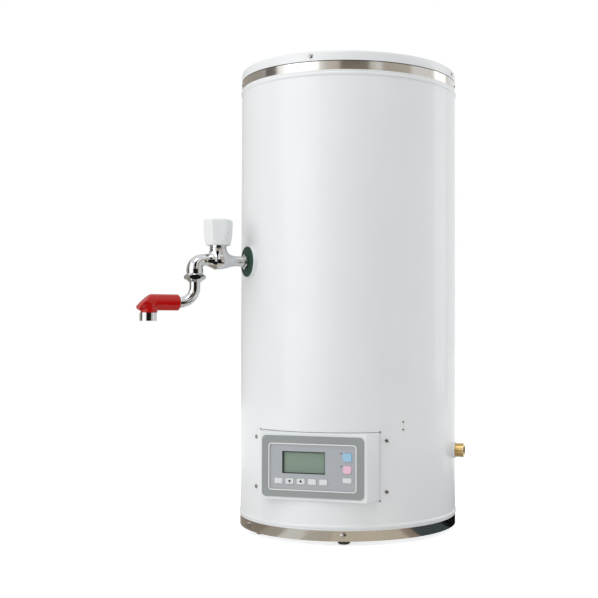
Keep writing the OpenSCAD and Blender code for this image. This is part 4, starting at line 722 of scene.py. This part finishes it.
def cap_gap_shade():
    """A black ring in the joint between the cap and the top band: painted shadow of the gap."""
    low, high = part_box("top_cap")
    reach = (high[0] - low[0]) / 2 / MM - GAP_SHADE_IN
    bottom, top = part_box("top_band")[1][2] / MM, low[2] / MM
    shape = rounded_face(GAP_SHADE_T, top - bottom, 0, reach - GAP_SHADE_T / 2, 0, (bottom + top) / 2)
    bmesh.ops.delete(shape, geom=shape.faces[:], context="FACES_ONLY")
    spin_round(shape, shape.verts[:] + shape.edges[:])
    add_shape("cap_gap_shade", shape, "boiler", "black_rubber")


cap_gap_shade()

BEAD_OUT, BEAD_AWAY, BEAD_STEPS = 0.9, 5.2, 20
BEAD_T, BEAD_H = 1.6, 3.0


def shell_beads():
    """The rolled beads of the painted shell, as full rings beside each band."""
    low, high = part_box("outer_shell")
    reach = (high[0] - low[0]) / 2 / MM - BEAD_OUT
    shape = bmesh.new()
    for z in (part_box("base_band")[1][2] / MM + BEAD_AWAY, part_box("top_band")[0][2] / MM - BEAD_AWAY):
        corners = bmesh.ops.create_circle(shape, segments=BEAD_STEPS, radius=1)["verts"]
        bmesh.ops.scale(shape, vec=(BEAD_T, BEAD_H, 1), verts=corners)
        bmesh.ops.rotate(shape, matrix=FACE_FRONT, verts=corners)
        bmesh.ops.translate(shape, vec=(reach, 0, z), verts=corners)
        spin_round(shape, corners + list({edge for corner in corners for edge in corner.link_edges}))
    add_shape("shell_beads", shape, "boiler", SLOT_OF["outer_shell"])


shell_beads()

# Studio: floor, white surroundings, soft lamps and cards for the metal to mirror
FLOOR_R, FLOOR_STEPS, FLOOR_COLOR, FLOOR_ROUGH, FLOOR_GLOW = 12, 64, (0.8, 0.8, 0.8, 1), 0.9, 0.62
WORLD_COLOR, WORLD_LEVEL = (0.985, 0.992, 1.0, 1), 0.66
WHITE, BLACK = (1, 1, 1, 1), (0, 0, 0, 1)


def seen_by(tree, path):
    """1 for the rays that show a background: from the camera, off metal and through glass."""
    seen = path.outputs["Is Camera Ray"]
    for kind in ("Is Glossy Ray", "Is Transmission Ray"):
        most = tree.nodes.new("ShaderNodeMath")
        most.operation = "MAXIMUM"
        tree.links.new(seen, most.inputs[0])
        tree.links.new(path.outputs[kind], most.inputs[1])
        seen = most.outputs[0]
    return seen


def stage_piece(name, shape, base, glow):
    """A piece of the studio from a bmesh, in a matt colour that glows in another."""
    mesh = bpy.data.meshes.new(name)
    shape.to_mesh(mesh)
    shape.free()
    piece = bpy.data.objects.new(name, mesh)
    bpy.context.scene.collection.objects.link(piece)
    made = bpy.data.materials.new(name)
    made.use_nodes = True
    set_inputs(made.node_tree.nodes["Principled BSDF"], {
        "Base Color": base, "Specular IOR Level": 0.0, "Emission Color": glow, "Emission Strength": 1.0})
    mesh.materials.append(made)
    return piece, made.node_tree


def make_floor():
    """A pale floor that keeps the boiler's shadow and glows only for a background's rays."""
    shape = bmesh.new()
    bmesh.ops.create_circle(shape, cap_ends=True, segments=FLOOR_STEPS, radius=FLOOR_R)
    _, tree = stage_piece("floor", shape, FLOOR_COLOR, WHITE)
    shader = tree.nodes["Principled BSDF"]
    shader.inputs["Roughness"].default_value = FLOOR_ROUGH
    times = tree.nodes.new("ShaderNodeMath")
    times.operation = "MULTIPLY"
    times.inputs[1].default_value = FLOOR_GLOW
    tree.links.new(seen_by(tree, tree.nodes.new("ShaderNodeLightPath")), times.inputs[0])
    tree.links.new(times.outputs[0], shader.inputs["Emission Strength"])


def make_world():
    """A plain level for the boiler, and white for a background's rays."""
    world = bpy.data.worlds.new("studio")
    bpy.context.scene.world = world
    world.use_nodes = True
    tree = world.node_tree
    tree.nodes.clear()
    out = tree.nodes.new("ShaderNodeOutputWorld")
    mix = tree.nodes.new("ShaderNodeMixShader")
    tree.links.new(seen_by(tree, tree.nodes.new("ShaderNodeLightPath")), mix.inputs["Fac"])
    for place, color, strength in ((1, WORLD_COLOR, WORLD_LEVEL), (2, WHITE, 1.0)):
        background = tree.nodes.new("ShaderNodeBackground")
        set_inputs(background, {"Color": color, "Strength": strength})
        tree.links.new(background.outputs[0], mix.inputs[place])
    tree.links.new(mix.outputs[0], out.inputs["Surface"])


make_floor()
make_world()

# Cards: azimuths are counted in degrees from the camera's side towards the right, shades in display values
CARD_STEPS, WALL_AWAY, GROUND_Z = 12, 2.7, 0.001
WALLS = (
    # name, start, end, low, high, shade
    ("front_card", -19, 44, -0.1, 1.0, (30, 29, 28)),
    ("front_gap", -10, 27, 1.0, 1.312, (206, 196, 180)),
    ("high_card", -9, 21, 1.312, 4.6, (12, 12, 11)),
    ("near_left_card", -24, -10, 1.0, 2.2, (232, 226, 217)),
    ("left_card", -97, -68, 0.0, 2.2, (118, 111, 106)),
    ("back_left_card", -172, -98, 0.0, 2.2, (178, 172, 164)),
    ("right_card", 34, 67, 0.0, 2.2, (206, 198, 187)),
    ("far_right_card", 107, 127, 0.0, 2.2, (140, 132, 122)),
)
GROUNDS = (
    # name, start, end, near, far, shade
    ("back_left_ground", -140, -112, 0.17, 0.8, (205, 203, 196)),
    ("far_left_ground", -112, -62, 0.17, 0.8, (156, 146, 134)),
    ("left_ground", -62, -45, 0.17, 0.8, (182, 174, 162)),
    ("near_left_ground", -45, -28, 0.17, 0.5, (232, 230, 224)),
    ("mid_left_ground", -28, -10, 0.17, 0.5, (206, 201, 189)),
    ("near_ground", -10, 38, 0.17, 0.5, (222, 213, 196)),
    ("front_ground", -48, 45, 0.51, 2.7, (34, 33, 32)),
    ("near_right_ground", 38, 46, 0.17, 1.2, (168, 155, 141)),
    ("right_ground", 46, 78, 0.17, 1.2, (72, 82, 87)),
    ("far_right_ground", 78, 112, 0.17, 1.2, (14, 14, 15)),
    ("back_right_ground", 112, 140, 0.17, 0.8, (112, 114, 114)),
)


def make_card(name, start, end, inner, outer, low, high, shade):
    """A card round the tank, from one azimuth, radius and height to another, that only gloss mirrors."""
    shape = bmesh.new()
    ends = [shape.verts.new((0, -from_axis, z)) for from_axis, z in ((inner, low), (outer, high))]
    edge = shape.edges.new(ends)
    bmesh.ops.rotate(shape, matrix=Matrix.Rotation(math.radians(start) + TURN, 3, "Z"), verts=shape.verts)
    bmesh.ops.spin(shape, geom=ends + [edge], cent=TANK_MIDDLE, axis=TANK_AXIS,
                   angle=math.radians(end - start), steps=CARD_STEPS)
    card, _ = stage_piece(name, shape, BLACK, linear(*shade))
    card.visible_camera = card.visible_diffuse = card.visible_shadow = False
    card.visible_transmission = False


for name, start, end, low, high, shade in WALLS:
    make_card(name, start, end, WALL_AWAY, WALL_AWAY, low, high, shade)
for name, start, end, near, far, shade in GROUNDS:
    make_card(name, start, end, near, far, GROUND_Z, GROUND_Z, shade)

AIM_HEIGHT = 0.35
LAMPS = (
    # name, azimuth, height, away, width, tall, power
    ("key_lamp", -58, 1.0, 2.6, 2.6, 2.6, 26),
    ("high_lamp", -15, 3.3, 1.6, 1.3, 1.3, 16),
    ("right_lamp", 112, 1.0, 2.2, 0.9, 2.0, 9),
)


def make_lamp(name, azimuth, height, from_axis, width, tall, power):
    """A soft lamp aimed at the tank."""
    data = bpy.data.lights.new(name, "AREA")
    data.shape, data.size, data.size_y = "RECTANGLE", width, tall
    data.energy = power
    lamp = bpy.data.objects.new(name, data)
    bpy.context.scene.collection.objects.link(lamp)
    turn = math.radians(azimuth) + TURN
    lamp.location = (from_axis * math.sin(turn), -from_axis * math.cos(turn), height)
    lamp.rotation_mode = "QUATERNION"
    lamp.rotation_quaternion = (Vector((0, 0, AIM_HEIGHT)) - lamp.location).to_track_quat("-Z", "Y")


for lamp in LAMPS:
    make_lamp(*lamp)
